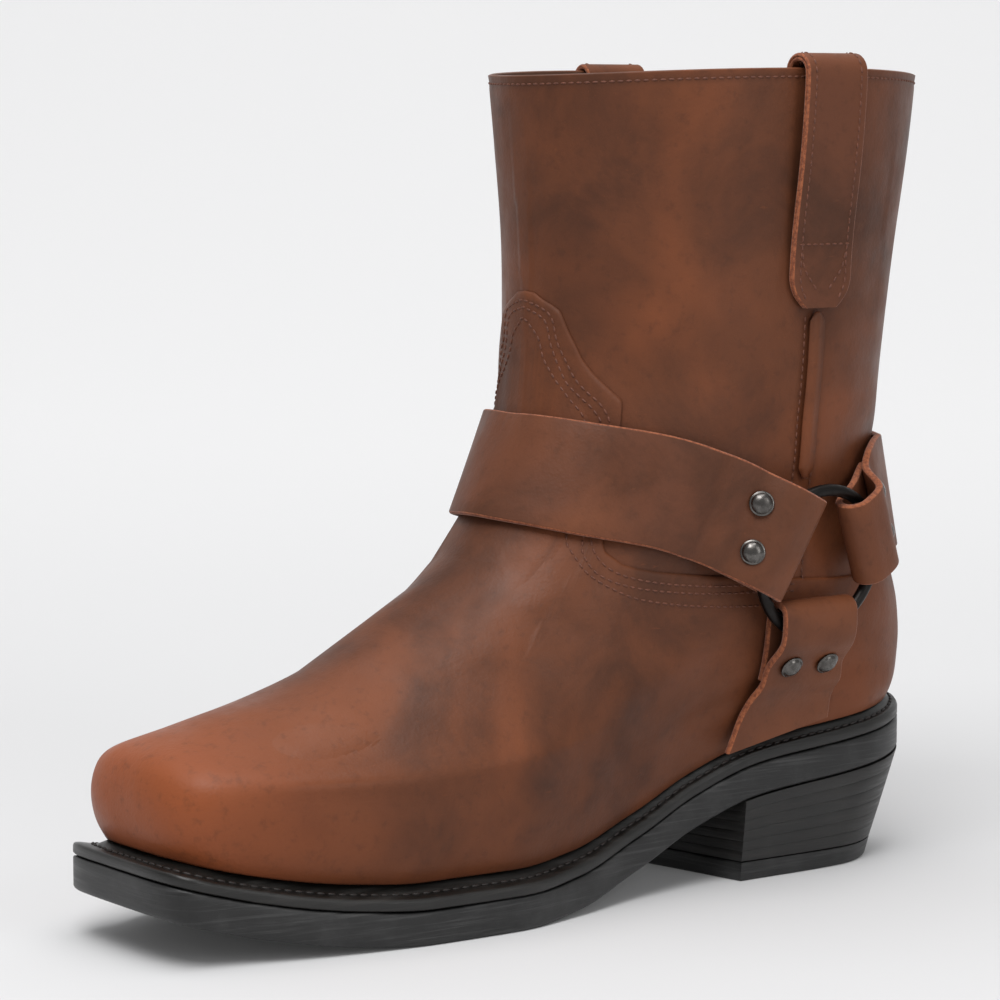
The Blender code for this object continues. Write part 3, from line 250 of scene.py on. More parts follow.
def flowing(xs, ys, x):
    """Natural cubic curve through the points, for one column or several."""
    xs = np.asarray(xs, dtype=float)
    ys = np.asarray(ys, dtype=float)
    count = len(xs)
    step = np.diff(xs)
    system = np.zeros((count, count))
    right = np.zeros(ys.shape)
    system[0, 0] = 1.0
    system[-1, -1] = 1.0
    for i in range(1, count - 1):
        system[i, i - 1] = step[i - 1]
        system[i, i] = 2.0 * (step[i - 1] + step[i])
        system[i, i + 1] = step[i]
        rise = (ys[i + 1] - ys[i]) / step[i]
        run = (ys[i] - ys[i - 1]) / step[i - 1]
        right[i] = 6.0 * (rise - run)
    bend = np.linalg.solve(system, right)
    x = np.asarray(x, dtype=float)
    i = np.clip(np.searchsorted(xs, x, side="right") - 1, 0, count - 2)
    width = step[i]
    a = (xs[i + 1] - x) / width
    b = (x - xs[i]) / width
    if ys.ndim > 1:
        a = a[..., None]
        b = b[..., None]
        width = width[..., None]
    cubic = (a ** 3 - a) * bend[i] + (b ** 3 - b) * bend[i + 1]
    return a * ys[i] + b * ys[i + 1] + cubic * width * width / 6.0


def plan_body(side, s):
    """Half width of the sole on one side at station s, before its ends round off."""
    column = 2 if side == OUTER else 3
    points = [(row[0], row[1] * row[column]) for row in PLAN]
    return steady(points, s / SOLE_LENGTH)


MARGINS = [
    # station, margin
    (0.00, HEEL_MARGIN),
    (0.20, HEEL_MARGIN),
    (0.42, WAIST_MARGIN),
    (0.70, TOE_MARGIN),
    (1.00, TOE_MARGIN),
]


def margin(s):
    """Width of welt that shows outside the upper."""
    return steady(MARGINS, s / SOLE_LENGTH)


def rounding(distance, length, fullness, tip):
    """Share of the full width at a distance from an end that rounds off."""
    t = np.clip(distance / length, 0.0, 1.0)
    return (1.0 - (1.0 - t) ** fullness) ** tip


def underside(s):
    """Height of the outsole's underside at station s."""
    share = s / SOLE_LENGTH
    heel = steady([(row[0], row[1]) for row in UNDERSIDE], share)
    spring = steady([(row[0], row[2]) for row in UNDERSIDE], share)
    return heel * HEEL_HEIGHT + spring * TOE_SPRING


def welt_edge_top(s):
    """Height of the welt's top at its outer edge."""
    return underside(s) + OUTSOLE_EDGE + SEAT_GAP + WELT_EDGE


def welt_seat(s):
    """Top of the welt under the upper and the insole."""
    return welt_edge_top(s) + WELT_RISE


def feather(s):
    """Height of the upper's lower edge."""
    return welt_seat(s) + FEATHER_GAP


def upper_rows(v):
    """Section values at row v, a number or an array."""
    table = np.array(ROWS)
    return flowing(np.arange(len(ROWS)), table, np.asarray(v, dtype=float))


def collar(s):
    """Height of the rim, which bows up a little at the sides."""
    middle = SHAFT_BACK + 0.5 * SHAFT_LENGTH
    share = np.clip((s - middle) / (0.5 * SHAFT_LENGTH), -1.0, 1.0)
    return COLLAR_HEIGHT + COLLAR_BOW * (1.0 - share * share)


def upper_half_loop(v, side, count=220):
    """Points (s, half width, z) of row v on one side, front centre to back centre."""
    front, back, reach, tuck, toe, ball, waist, heel, shaft, nose, full, tip, tail = upper_rows(v)
    shaft_front = SHAFT_BACK + SHAFT_LENGTH
    feather_toe = SOLE_LENGTH - TOE_MARGIN
    s_front = shaft_front + reach * (feather_toe - shaft_front)
    s_back = SHAFT_BACK + tuck * SHAFT_LENGTH
    q = np.linspace(0.0, 1.0, count)
    s = s_front + (s_back - s_front) * 0.5 * (1.0 - np.cos(math.pi * q))
    share = steady(sorted(zip(WIDTH_STATIONS, (toe, ball, waist, heel))), s / SOLE_LENGTH)
    foot = plan_body(side, np.clip(s, 0.0, SOLE_LENGTH)) - margin(s)
    base = (1.0 - shaft) * foot + shaft * 0.5 * SHAFT_WIDTH
    width = base * share
    width = width * rounding(s_front - s, nose * SOLE_LENGTH, full, tip)
    width = width * rounding(s - s_back, tail * SHAFT_LENGTH, 2.0, 0.5)
    along = (s - s_back) / (s_front - s_back)
    rise = back + (front - back) * along
    low = feather(np.clip(s, 0.0, SOLE_LENGTH))
    z = low + rise * (collar(s) - low)
    return s, width, z


def seam_station():
    """Station of the side seam, at the middle of the shaft."""
    return SHAFT_BACK + 0.5 * SHAFT_LENGTH


def upper_half_grid(rows, side, shares):
    """Points of one side for each row; shares run 0 at the front centre, 1 at the
    side seam and 2 at the back centre, by length plus a length for each turn."""
    grid = np.zeros((len(rows), len(shares), 3))
    for i, v in enumerate(rows):
        s, width, z = upper_half_loop(v, side)
        path = np.stack([s, width, z], axis=1)
        leg = np.diff(path, axis=0)
        length = np.linalg.norm(leg, axis=1)
        heading = np.unwrap(np.arctan2(leg[:, 1], leg[:, 0]))
        turn = np.abs(np.gradient(heading))
        measure = np.concatenate([[0.0], np.cumsum(length + TURN_LENGTH * turn)])
        at_seam = np.interp(-seam_station(), -s, measure)
        target = np.where(
            shares <= 1.0,
            shares * at_seam,
            at_seam + (shares - 1.0) * (measure[-1] - at_seam),
        )
        for k in range(3):
            grid[i, :, k] = np.interp(target, measure, path[:, k])
    return np.stack([side * grid[:, :, 1], -grid[:, :, 0], grid[:, :, 2]], axis=2)


def upper_grid(rows, shares):
    """Closed loops of points: front, outer side, back, inner side; rows by columns."""
    outer = upper_half_grid(rows, OUTER, shares)
    inner = upper_half_grid(rows, INNER, shares)
    return np.concatenate([outer, inner[:, -2:0:-1]], axis=1)


def grid_normals(grid):
    """Outward unit normals of closed loops of points."""
    around = np.roll(grid, -1, axis=1) - np.roll(grid, 1, axis=1)
    upward = np.gradient(grid, axis=0)
    normal = np.cross(around, upward)
    outward = np.sign(np.sum(normal * (grid - grid.mean(axis=1, keepdims=True)), axis=2).sum())
    return normal * outward / np.linalg.norm(normal, axis=2, keepdims=True)


# Top edge of the vamp and counter overlay: share of the way round one side
# (0 front, 1 side seam, 2 back) and height as a share of the collar height
OVERLAY_EDGE = [
    (0.000, 0.742),
    (0.047, 0.740),
    (0.088, 0.732),
    (0.128, 0.726),
    (0.162, 0.719),
    (0.195, 0.694),
    (0.221, 0.678),
    (0.246, 0.661),
    (0.287, 0.644),
    (0.337, 0.628),
    (0.388, 0.612),
    (0.393, 0.560),
    (0.420, 0.452),
    (0.450, 0.434),
    (0.519, 0.418),
    (0.569, 0.412),
    (0.628, 0.407),
    (0.754, 0.400),
    (0.902, 0.391),
    (1.000, 0.386),
    (1.200, 0.380),
    (1.500, 0.378),
    (2.000, 0.382),
]


def overlay_edge_height(share):
    """Height of the overlay's top edge at a share of the way round one side."""
    points = np.array(OVERLAY_EDGE)
    return COLLAR_HEIGHT * np.interp(share, points[:, 0], points[:, 1])


def column_rows(fine_rows, fine_grid, shares_round):
    """Row at which each column meets the overlay's top edge."""
    edge = []
    for j, share in enumerate(shares_round):
        z = fine_grid[:, j, 2]
        start = len(z) // 3
        edge.append(np.interp(overlay_edge_height(share), z[start:], fine_rows[start:]))
    return np.array(edge)


# Mesh building

HEEL_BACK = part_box("outsole")[1].y
# How far the outer pull strap reaches from the boot's middle plane
PULL_REACH = 0.06365
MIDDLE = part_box("pull_strap_outer")[1].x - PULL_REACH
TO_ROW = np.array([MIDDLE, HEEL_BACK, 0.0])


def add_piece(name, points, faces, materials, picks=None, attributes=(), sharp=None):
    """Mesh of points in the working frame, moved to the row frame and riding on the boot."""
    mesh = bpy.data.meshes.new(name)
    placed = np.array([tuple(p) for p in points], dtype=float) + TO_ROW
    mesh.from_pydata(placed.tolist(), [], faces)
    for material in materials:
        mesh.materials.append(material)
    if picks is not None:
        mesh.polygons.foreach_set("material_index", np.array(picks, dtype=np.int32))
    for label, values in attributes:
        layer = mesh.attributes.new(label, "FLOAT", "POINT")
        layer.data.foreach_set("value", np.array(values, dtype=np.float32))
    builder = bmesh.new()
    builder.from_mesh(mesh)
    bmesh.ops.recalc_face_normals(builder, faces=builder.faces)
    builder.to_mesh(mesh)
    builder.free()
    mesh.shade_smooth()
    if sharp is not None:
        mesh.set_sharp_from_angle(angle=sharp)
    piece = bpy.data.objects.new(name, mesh)
    bpy.context.scene.collection.objects.link(piece)
    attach(piece, ROOT)
    return piece


def loop_faces(start_a, start_b, count):
    """Quads between two closed loops of points."""
    return [
        (start_a + j, start_a + (j + 1) % count, start_b + (j + 1) % count, start_b + j)
        for j in range(count)
    ]


def lid_faces(start, count):
    """Faces across a loop: front, half - 1 points down one side, back, and up the other."""
    half = count // 2
    faces = [(start, start + 1, start + count - 1)]
    for j in range(1, half - 1):
        faces.append((start + j, start + j + 1, start + count - j - 1, start + count - j))
    faces.append((start + half - 1, start + half, start + half + 1))
    return faces


def plate_piece(name, loops, materials, picks=None, sharp=None):
    """Closed piece from loops that run from the underside's edge up to the top's."""
    count = len(loops[0])
    faces = lid_faces(0, count)
    for k in range(len(loops) - 1):
        faces += loop_faces(k * count, (k + 1) * count, count)
    faces += lid_faces((len(loops) - 1) * count, count)
    points = [p for loop in loops for p in loop]
    return add_piece(name, points, faces, materials, picks=picks, sharp=sharp)


# Upper: fine grids of the same surface as the solid

FRONT_COLUMNS = 96
BACK_COLUMNS = 56
HALF_SHARES = np.concatenate([
    np.linspace(0.0, 1.0, FRONT_COLUMNS + 1),
    np.linspace(1.0, 2.0, BACK_COLUMNS + 1)[1:],
])
SHARES_ROUND = np.concatenate([HALF_SHARES, HALF_SHARES[-2:0:-1]])
COLUMNS = len(SHARES_ROUND)
GRID_STEPS = 14
GRID_ROWS = np.linspace(0.0, TOP_ROW, GRID_STEPS * TOP_ROW + 1)
GRID = upper_grid(GRID_ROWS, HALF_SHARES)
GRID_NORMALS = grid_normals(GRID)
EDGE_ROWS = column_rows(GRID_ROWS, GRID, SHARES_ROUND)


def surface_rows(rows, offset):
    """Points of every column at the given row of each, out from the surface by offset."""
    low = np.clip(np.searchsorted(GRID_ROWS, rows, side="right") - 1, 0, len(GRID_ROWS) - 2)
    share = (rows - GRID_ROWS[low]) / (GRID_ROWS[low + 1] - GRID_ROWS[low])
    column = np.arange(COLUMNS)
    share = share[:, None]
    base = GRID[low, column] * (1.0 - share) + GRID[low + 1, column] * share
    out = GRID_NORMALS[low, column] * (1.0 - share) + GRID_NORMALS[low + 1, column] * share
    out /= np.linalg.norm(out, axis=1, keepdims=True)
    return base + np.asarray(offset).reshape(-1, 1) * out


def surface_point(share, z):
    """Point and outward normal of the upper at a signed share round it and a height."""
    turn = abs(share)
    side = share < 0.0
    position = np.interp(turn, HALF_SHARES, np.arange(len(HALF_SHARES)))
    first = min(int(position), len(HALF_SHARES) - 2)
    weight = position - first
    found = []
    for column in (first, first + 1):
        c = (COLUMNS - column) % COLUMNS if side else column
        heights = GRID[:, c, 2]
        start = len(heights) // 4
        row = np.interp(z, heights[start:], GRID_ROWS[start:])
        point = [np.interp(row, GRID_ROWS, GRID[:, c, k]) for k in range(3)]
        normal = [np.interp(row, GRID_ROWS, GRID_NORMALS[:, c, k]) for k in range(3)]
        found.append((np.array(point), np.array(normal)))
    point = found[0][0] * (1.0 - weight) + found[1][0] * weight
    normal = found[0][1] * (1.0 - weight) + found[1][1] * weight
    return point, normal / np.linalg.norm(normal)


def spread_path(points, pitch=0.0015):
    """A table's path with points at an even pitch, smooth through the given ones."""
    points = np.array(points, dtype=float)
    scale = np.array([0.055, 1.0])
    length = np.concatenate([[0.0], np.cumsum(np.linalg.norm(np.diff(points * scale, axis=0), axis=1))])
    count = max(3, int(length[-1] / pitch))
    at = np.linspace(0.0, length[-1], count)
    share = steady(list(zip(length, points[:, 0])), at)
    height = steady(list(zip(length, points[:, 1])), at)
    return np.stack([share, height], axis=1)


def on_upper(path, offset):
    """Lay a path of signed shares and heights on the upper; gives points and normals."""
    rows = []
    for share, z in path:
        point, normal = surface_point(share, z)
        rows.append((point + normal * offset, normal))
    return rows


def both_sides(path):
    """The path and its mirror image as one path, from the inner end to the outer end."""
    mirrored = [(-share, z) for share, z in reversed(path)]
    if path[0][0] == 0.0:
        mirrored = mirrored[:-1]
    return mirrored + list(path)


# Seams sewn through the upper, as signed shares and heights

RIM_SEAM_DROP = 0.0024
RIM_SEAM_POINTS = 300
TONGUE_SEAM_OUTER = [
    # share round the upper, height
    (0.000, 0.1945), (0.080, 0.1924), (0.130, 0.1895), (0.154, 0.1815), (0.188, 0.1755), (0.222, 0.1700),
    (0.268, 0.1656), (0.316, 0.1618), (0.352, 0.1560), (0.366, 0.1400), (0.392, 0.1195), (0.454, 0.1118),
    (0.519, 0.1081), (0.612, 0.1053), (0.703, 0.1036), (0.806, 0.1023), (0.905, 0.1015), (1.020, 0.1005),
]
TONGUE_SEAM_INNER = [
    # share round the upper, height
    (0.000, 0.1921), (0.068, 0.1902), (0.108, 0.1876), (0.128, 0.1806), (0.162, 0.1738), (0.198, 0.1680),
    (0.250, 0.1636), (0.292, 0.1602), (0.328, 0.1550), (0.344, 0.1400), (0.372, 0.1180), (0.442, 0.1094),
    (0.512, 0.1057), (0.608, 0.1029), (0.703, 0.1012), (0.806, 0.0999), (0.905, 0.0991), (1.020, 0.0981),
]
DART_SEAM = [
    # share round the upper, height
    (0.000, 0.1890), (0.030, 0.1865), (0.071, 0.1828), (0.098, 0.1763), (0.140, 0.1708), (0.179, 0.1665),
    (0.222, 0.1620), (0.262, 0.1579), (0.292, 0.1480), (0.302, 0.1300), (0.320, 0.1192), (0.370, 0.1137),
    (0.431, 0.1084), (0.513, 0.1038), (0.605, 0.0998), (0.764, 0.0964), (0.913, 0.0945), (1.030, 0.0935),
]


def rim_path():
    """Row of stitches just below the rim, all the way round."""
    path = []
    for share in np.linspace(-2.0, 2.0, RIM_SEAM_POINTS):
        point, _ = surface_point(share, COLLAR_HEIGHT)
        path.append((share, collar(-point[1]) - RIM_SEAM_DROP))
    return path


# Rows beside the side seam: their heights, how far and between which heights
# they lean, and the shares round the upper among which their station is found
SIDE_ROW_LOW = 0.102
SIDE_ROW_HIGH = 0.188
SIDE_ROW_POINTS = 60
SIDE_ROW_LEAN = 0.3 * SEAM_LEAN
SIDE_ROW_LEAN_HEIGHTS = (0.135, 0.190)
SIDE_ROW_TURNS = (0.7, 0.85, 1.0, 1.15, 1.3)


def side_row_path(side, offset):
    """Vertical row beside the side seam, at an offset from its station."""
    rows = []
    for z in np.linspace(SIDE_ROW_LOW, SIDE_ROW_HIGH, SIDE_ROW_POINTS):
        s = PULL_STATION + np.interp(z, SIDE_ROW_LEAN_HEIGHTS, (SIDE_ROW_LEAN, 0.0)) + offset
        levels = [surface_point(side * turn, z)[0][1] for turn in SIDE_ROW_TURNS]
        rows.append((side * np.interp(-s, levels, SIDE_ROW_TURNS), z))
    return rows


RIM_SEAM = rim_path()
UPPER_SEAMS = [
    both_sides(spread_path(TONGUE_SEAM_OUTER).tolist()),
    both_sides(spread_path(TONGUE_SEAM_INNER).tolist()),
    both_sides(spread_path(DART_SEAM).tolist()),
    RIM_SEAM,
]
SIDE_SEAM_OFFSET = 0.5 * SEAM_WIDTH + 0.0010
for seam_side in (OUTER, INNER):
    for seam_offset in (-SIDE_SEAM_OFFSET, SIDE_SEAM_OFFSET):
        UPPER_SEAMS.append(side_row_path(seam_side, seam_offset))

# The thread draws the leather in by a groove that fades out over this reach
SEAM_GROOVE = 0.00022
SEAM_REACH = 0.0013
SEAM_POINTS = [point for seam in UPPER_SEAMS for point, _ in on_upper(seam, 0.0)]
SEAM_TREE = KDTree(len(SEAM_POINTS))
for seam_index, seam_point in enumerate(SEAM_POINTS):
    SEAM_TREE.insert(seam_point, seam_index)
SEAM_TREE.balance()


def seam_closeness(points):
    """1 on a sewn row, falling to 0 beside it."""
    away = np.array([SEAM_TREE.find(p)[2] for p in points])
    return np.exp(-((away / SEAM_REACH) ** 2))


# Soft dents and ridges of worn leather, as shares round the upper and metres; a
# negative depth is a ridge
CREASES = [
    # share, height, reach round, reach up, slope, depth
    (0.20, 0.104, 0.020, 0.0050, 0.10, 0.0007),
    (0.34, 0.095, 0.026, 0.0060, -0.25, 0.0008),
    (0.30, 0.086, 0.030, 0.0050, -0.15, -0.0006),
    (-0.24, 0.099, 0.022, 0.0055, 0.10, 0.0007),
    (-0.36, 0.088, 0.026, 0.0060, 0.20, 0.0008),
    (0.55, 0.128, 0.030, 0.0080, 0.30, 0.0008),
    (0.80, 0.150, 0.034, 0.0090, 0.20, 0.0009),
    (0.45, 0.175, 0.040, 0.0140, -0.15, 0.0010),
    (-0.60, 0.150, 0.034, 0.0100, 0.20, 0.0009),
    (1.45, 0.128, 0.034, 0.0070, 0.15, 0.0012),
    (1.70, 0.142, 0.036, 0.0080, -0.10, 0.0012),
    (-1.50, 0.130, 0.034, 0.0080, 0.10, 0.0011),
    (1.60, 0.110, 0.036, 0.0070, 0.05, -0.0008),
    (0.70, 0.215, 0.060, 0.0260, 0.10, 0.0011),
    (-0.70, 0.215, 0.060, 0.0260, 0.10, 0.0011),
    (0.30, 0.235, 0.050, 0.0220, 0.10, -0.0006),
    (1.60, 0.215, 0.050, 0.0300, 0.10, 0.0009),
]


def crease_depth(points):
    """How far each point is pressed in by the creases."""
    points = np.asarray(points)
    depth = np.zeros(len(points))
    for share, z, along, upward, slope, amount in CREASES:
        centre, normal = surface_point(share, z)
        sideways = np.cross(np.array([0.0, 0.0, 1.0]), normal)
        sideways /= np.linalg.norm(sideways)
        away = points - centre
        u = away @ sideways
        v = away[:, 2] - slope * u
        facing = (away @ normal) > -0.03
        depth += amount * np.exp(-((u / along) ** 2) - ((v / upward) ** 2)) * facing
    return depth


# Section of the overlay's top edge
EDGE_PROFILE = [
    # distance back from the edge in rows, share of the overlay's height
    (0.16, 1.00),
    (0.10, 0.98),
    (0.055, 0.88),
    (0.022, 0.66),
    (0.0, 0.30),
    (0.0, 0.02),
]
VAMP_ROWS = 118
# The overlay's back lies on the shaft, with its rows at these shares of its height
OVERLAY_BACK = 0.00005
OVERLAY_BACK_SHARES = (0.99, 0.85, 0.7, 0.5, 0.3, 0.15, 0.0)

# The shaft's outside shows from this row up, and below it a hidden wall runs down
SHAFT_LOW = 6.6
SHAFT_ROWS = 168
HIDDEN_ROWS = (0.0, 1.5, 3.0, 4.5, 6.0)
HIDDEN_DEPTH = 0.0008
INNER_ROWS = 56
RIM_ROUND = [
    # out from the surface, up from the collar
    (0.0, 0.0),
    (0.0, 0.00012),
    (-0.00035, 0.00030),
    (-0.00100, 0.00050),
    (-0.00165, 0.00030),
    (-0.00200, 0.00012),
    (-0.00200, 0.0),
]
# Dents and seams fade out over this many rows above the feather edge, and show
# this much of their depth on the lining
FEATHER_FADE = 1.5
LINING_FADE = 0.9
RIM_FADE = 0.5


def flat_feather(loop):
    """Set a loop's heights to the welt's seat."""
    stations = np.clip(-loop[:, 1], 0.0, SOLE_LENGTH)
    loop[:, 2] = feather(stations)
    return loop


def outward(rows):
    """Outward normals at the given row of each column."""
    return surface_rows(rows, 1.0) - surface_rows(rows, 0.0)


def build_vamp(materials):
    """Lower overlay: vamp, tongue and counter, standing proud of the shaft."""
    top = EDGE_ROWS - EDGE_PROFILE[0][0]
    loops = []
    for k in range(VAMP_ROWS):
        share = k / (VAMP_ROWS - 1)
        loops.append((top * share, OVERLAY))
    for back, height in EDGE_PROFILE[1:]:
        loops.append((EDGE_ROWS - back, OVERLAY * height))
    for share in OVERLAY_BACK_SHARES:
        loops.append((EDGE_ROWS * share, OVERLAY_BACK))
    return assemble_upper("vamp", loops, materials, (0, len(loops) - 1), ())


def build_shaft(materials):
    """Shaft with its rim and the lining that runs down to the insole."""
    everywhere = np.ones(COLUMNS)
    loops = []
    for row in HIDDEN_ROWS:
        loops.append((everywhere * row, -HIDDEN_DEPTH))
    for row in np.linspace(SHAFT_LOW, TOP_ROW, SHAFT_ROWS):
        loops.append((everywhere * row, 0.0))
    rim_first = len(loops) - 1
    for offset, _ in RIM_ROUND[1:-1]:
        loops.append((everywhere * TOP_ROW, offset))
    for k in range(INNER_ROWS):
        loops.append((everywhere * TOP_ROW * (1.0 - k / (INNER_ROWS - 1)), -UPPER_WALL))
    rim_last = rim_first + len(RIM_ROUND) - 1
    rim = list(range(rim_first, rim_last + 1))
    return assemble_upper("shaft", loops, materials, (0, len(loops) - 1), rim)


def assemble_upper(name, loops, materials, feather_loops, rim):
    """Closed tube of loops, with creases and sewn grooves pressed into both its faces."""
    points = []
    closeness_all = []
    for index, (rows, offset) in enumerate(loops):
        loop = surface_rows(rows, np.full(COLUMNS, offset))
        if index in rim:
            loop[:, 2] = collar(-loop[:, 1]) + RIM_ROUND[index - rim[0]][1]
        outer_side = offset > -0.0001
        closeness = seam_closeness(loop) if outer_side else np.zeros(COLUMNS)
        if index in rim:
            closeness = closeness * RIM_FADE
        depth = crease_depth(loop) + SEAM_GROOVE * closeness
        fade = np.clip(rows / FEATHER_FADE, 0.0, 1.0) * (1.0 if outer_side else LINING_FADE)
        loop = loop - outward(rows) * (depth * fade)[:, None]
        if index in feather_loops:
            loop = flat_feather(loop)
        points.append(loop)
        closeness_all.append(closeness)
    faces = []
    picks = []
    count = len(loops)
    inside_from = rim[-1] if rim else count
    for k in range(count):
        faces += loop_faces(k * COLUMNS, ((k + 1) % count) * COLUMNS, COLUMNS)
        inside = k >= inside_from
        picks += [1 if inside and len(materials) > 1 else 0] * COLUMNS
    flat = np.concatenate(points)
    # the closeness to the sewn rows goes with the mesh as the mask of the painted seam shade
    piece = add_piece(
        name, flat, faces, materials, picks=picks,
        attributes=[("seam_shade", np.concatenate(closeness_all))],
    )
    return piece, flat, faces


# Harness

# Front strap's middle line: angle round the shaft from the side towards the
# front, and rise above the ring as a share of the strap's rise
FRONT_STRAP_LINE = [
    (40.0, 0.70),
    (51.0, 0.83),
    (64.0, 0.93),
    (77.0, 0.985),
    (90.0, 1.00),
]
BACK_STRAP_LINE = [
    (-68.0, 1.00),
    (-79.0, 1.00),
    (-90.0, 1.00),
]


def fold_radius():
    """Radius of a strap's middle line where it folds round the ring."""
    return 0.5 * RING_WIRE + RING_GAP + 0.5 * STRAP_THICKNESS


class StrapEnd:
    """Where a strap folds round the ring, on one side of the boot.

    A swung end's leaves turn in towards the shaft behind the ring, and the fold
    has room for the ring's crest between them."""

    def __init__(self, seat, tilt, width, swing=0.0):
        turn = math.radians(tilt)
        self.side = seat.side
        self.half_width = 0.5 * width
        self.away = seat.forward * math.cos(turn) + seat.up * math.sin(turn)
        self.across = seat.up * math.cos(turn) - seat.forward * math.sin(turn)
        self.out = seat.out
        reach = math.sqrt(RING_RADIUS ** 2 - self.half_width ** 2)
        slant = 0.5 * RING_WIRE * (RING_RADIUS / reach - 1.0)
        reach -= slant
        self.wire_depth = RING_RADIUS + 0.5 * RING_WIRE - reach + RING_GAP
        angle = math.radians(swing)
        room = 0.5 * (RING_RADIUS - reach) * math.sin(angle)
        self.radius = fold_radius() + room
        self.fold = seat.centre + self.away * reach
        away, out = self.away, self.out
        self.away = away * math.cos(angle) - out * math.sin(angle)
        self.out = out * math.cos(angle) + away * math.sin(angle)
        self.fold = self.fold + self.out * room

    def leaf(self, distance, height):
        """Point over the fold's middle at a distance along the leaves and a height."""
        return self.fold + self.away * distance + self.out * height

    def bend(self, count=5):
        """Middle line of the half turn, from the outer leaf to the inner leaf."""
        points = []
        for k in range(1, count + 1):
            turn = math.pi * k / (count + 1)
            inward = self.away * self.radius * math.sin(turn)
            points.append(self.fold - inward + self.out * self.radius * math.cos(turn))
        return points


def clearance(tree, point, out, reach=0.03):
    """Height of a point over the surface below it, or None where there is none."""
    hit = tree.ray_cast(point + out * reach, -out, 3.0 * reach)
    return None if hit[0] is None else hit[3] - reach


def seated(tree, point, across, out, half_width, lift):
    """Lift a strap's middle point until its whole width clears the surface."""
    needed = 0.0
    for share in (-1.0, -0.5, 0.0, 0.5, 1.0):
        gap = clearance(tree, point + across * half_width * share, out)
        if gap is not None:
            needed = max(needed, -gap)
    return point + out * (needed + lift + 0.5 * STRAP_THICKNESS)


def laid_leaf(end, tree, distance):
    """Middle point of the inner leaf at a distance, lying on the upper."""
    point = end.leaf(distance, -end.radius)
    on_surface = point - end.out * clearance(tree, point, end.out)
    return seated(tree, on_surface, end.across, end.out, end.half_width, STRAP_GAP)


def end_stations(end, tree, width_far):
    """Stations of a strap from its inner leaf's end, round the ring, and out again
    until its outer leaf has passed the inner one's end."""
    radius = end.radius
    tip = laid_leaf(end, tree, STRAP_LEAF)
    leaving = end.leaf(end.wire_depth, -radius)
    straight = leaving.lerp(tip, CLOSING_SHARE)
    closed = laid_leaf(end, tree, end.wire_depth + CLOSING_SHARE * (STRAP_LEAF - end.wire_depth))
    closed = closed + end.out * max((straight - closed).dot(end.out), 0.0)
    centres = [tip, closed, leaving, end.leaf(0.0, -radius)]
    centres += reversed(end.bend())
    centres += [end.leaf(0.0, radius), end.leaf(end.wire_depth, radius)]
    stations = [(centre, end.across, end.half_width) for centre in centres]
    run = (tip - closed).normalized()
    stack = end.out * (STRAP_THICKNESS + LEAF_GAP) / run.dot(end.away)
    stations.append((closed + stack, end.across, 0.5 * (end.half_width + 0.5 * width_far)))
    stations.append((tip + stack + run * LEAF_OVERRUN, end.across, 0.5 * width_far))
    return stations


def surface_hit(tree, side, angle, z):
    """Point of the upper's outside at an angle from the side towards the front."""
    turn = math.radians(angle)
    out = Vector((side * math.cos(turn), -math.sin(turn), 0.0))
    axis = Vector((0.0, -seam_station(), z))
    hit = tree.ray_cast(axis + out * OUTSIDE, -out, 2.0 * OUTSIDE)
    return hit[0]


def wrapped_station(tree, side, angle, z, half_width, lift):
    """Middle point and width direction of a strap laid on the upper."""
    high = surface_hit(tree, side, angle, z + 0.8 * half_width)
    low = surface_hit(tree, side, angle, z - 0.8 * half_width)
    middle = surface_hit(tree, side, angle, z)
    across = (high - low).normalized()
    turn = math.radians(angle)
    along = Vector((side * math.sin(turn), math.cos(turn), 0.0))
    out = along.cross(across) * side
    out.normalize()
    if out.dot(middle - Vector((0.0, -seam_station(), z))) < 0.0:
        out = -out
    return seated(tree, middle, across, out, half_width, lift), across


def resampled(stations, count):
    """The same run of stations, evenly spaced on a smooth curve."""
    centres = np.array([tuple(row[0]) for row in stations])
    acrosses = np.array([tuple(row[1]) for row in stations])
    halves = np.array([row[2] for row in stations])
    length = np.concatenate([[0.0], np.cumsum(np.linalg.norm(np.diff(centres, axis=0), axis=1))])
    at = np.linspace(0.0, length[-1], count)
    centres = flowing(length, centres, at)
    acrosses = np.stack([np.interp(at, length, acrosses[:, k]) for k in range(3)], axis=1)
    halves = np.interp(at, length, halves)
    return [(Vector(c), Vector(a).normalized(), h) for c, a, h in zip(centres, acrosses, halves)]


def heading(stations, i):
    """Direction of a run of stations at its station i."""
    before = stations[max(i - 1, 0)][0]
    after = stations[min(i + 1, len(stations) - 1)][0]
    return (after - before).normalized()


def squared(stations):
    """Turn each station's width square to the strap's own direction."""
    result = []
    for i, (centre, across, half) in enumerate(stations):
        along = heading(stations, i)
        face = along.cross(across).normalized()
        result.append((centre, face.cross(along).normalized(), half))
    return result


def lifted(stations, tree, minimum):
    """Push stations of a laid strap out wherever its width comes too close."""
    result = []
    for i, (centre, across, half) in enumerate(stations):
        out = heading(stations, i).cross(across).normalized()
        if out.dot(centre - Vector((0.0, -seam_station(), centre.z))) < 0.0:
            out = -out
        short = 0.0
        for share in (-1.0, -0.5, 0.0, 0.5, 1.0):
            gap = clearance(tree, centre + across * half * share, out)
            if gap is not None:
                short = max(short, minimum + 0.5 * STRAP_THICKNESS - gap)
        result.append((centre + out * short, across, half))
    return result


def stations_within(curve, start, end):
    """How many of a curve's first stations don't reach well past its second one."""
    reach = (end[0] - start[0]).length + LEAF_RUNOUT
    count = 0
    for centre, _, _ in curve:
        if (centre - start[0]).length > reach:
            break
        count += 1
    return count


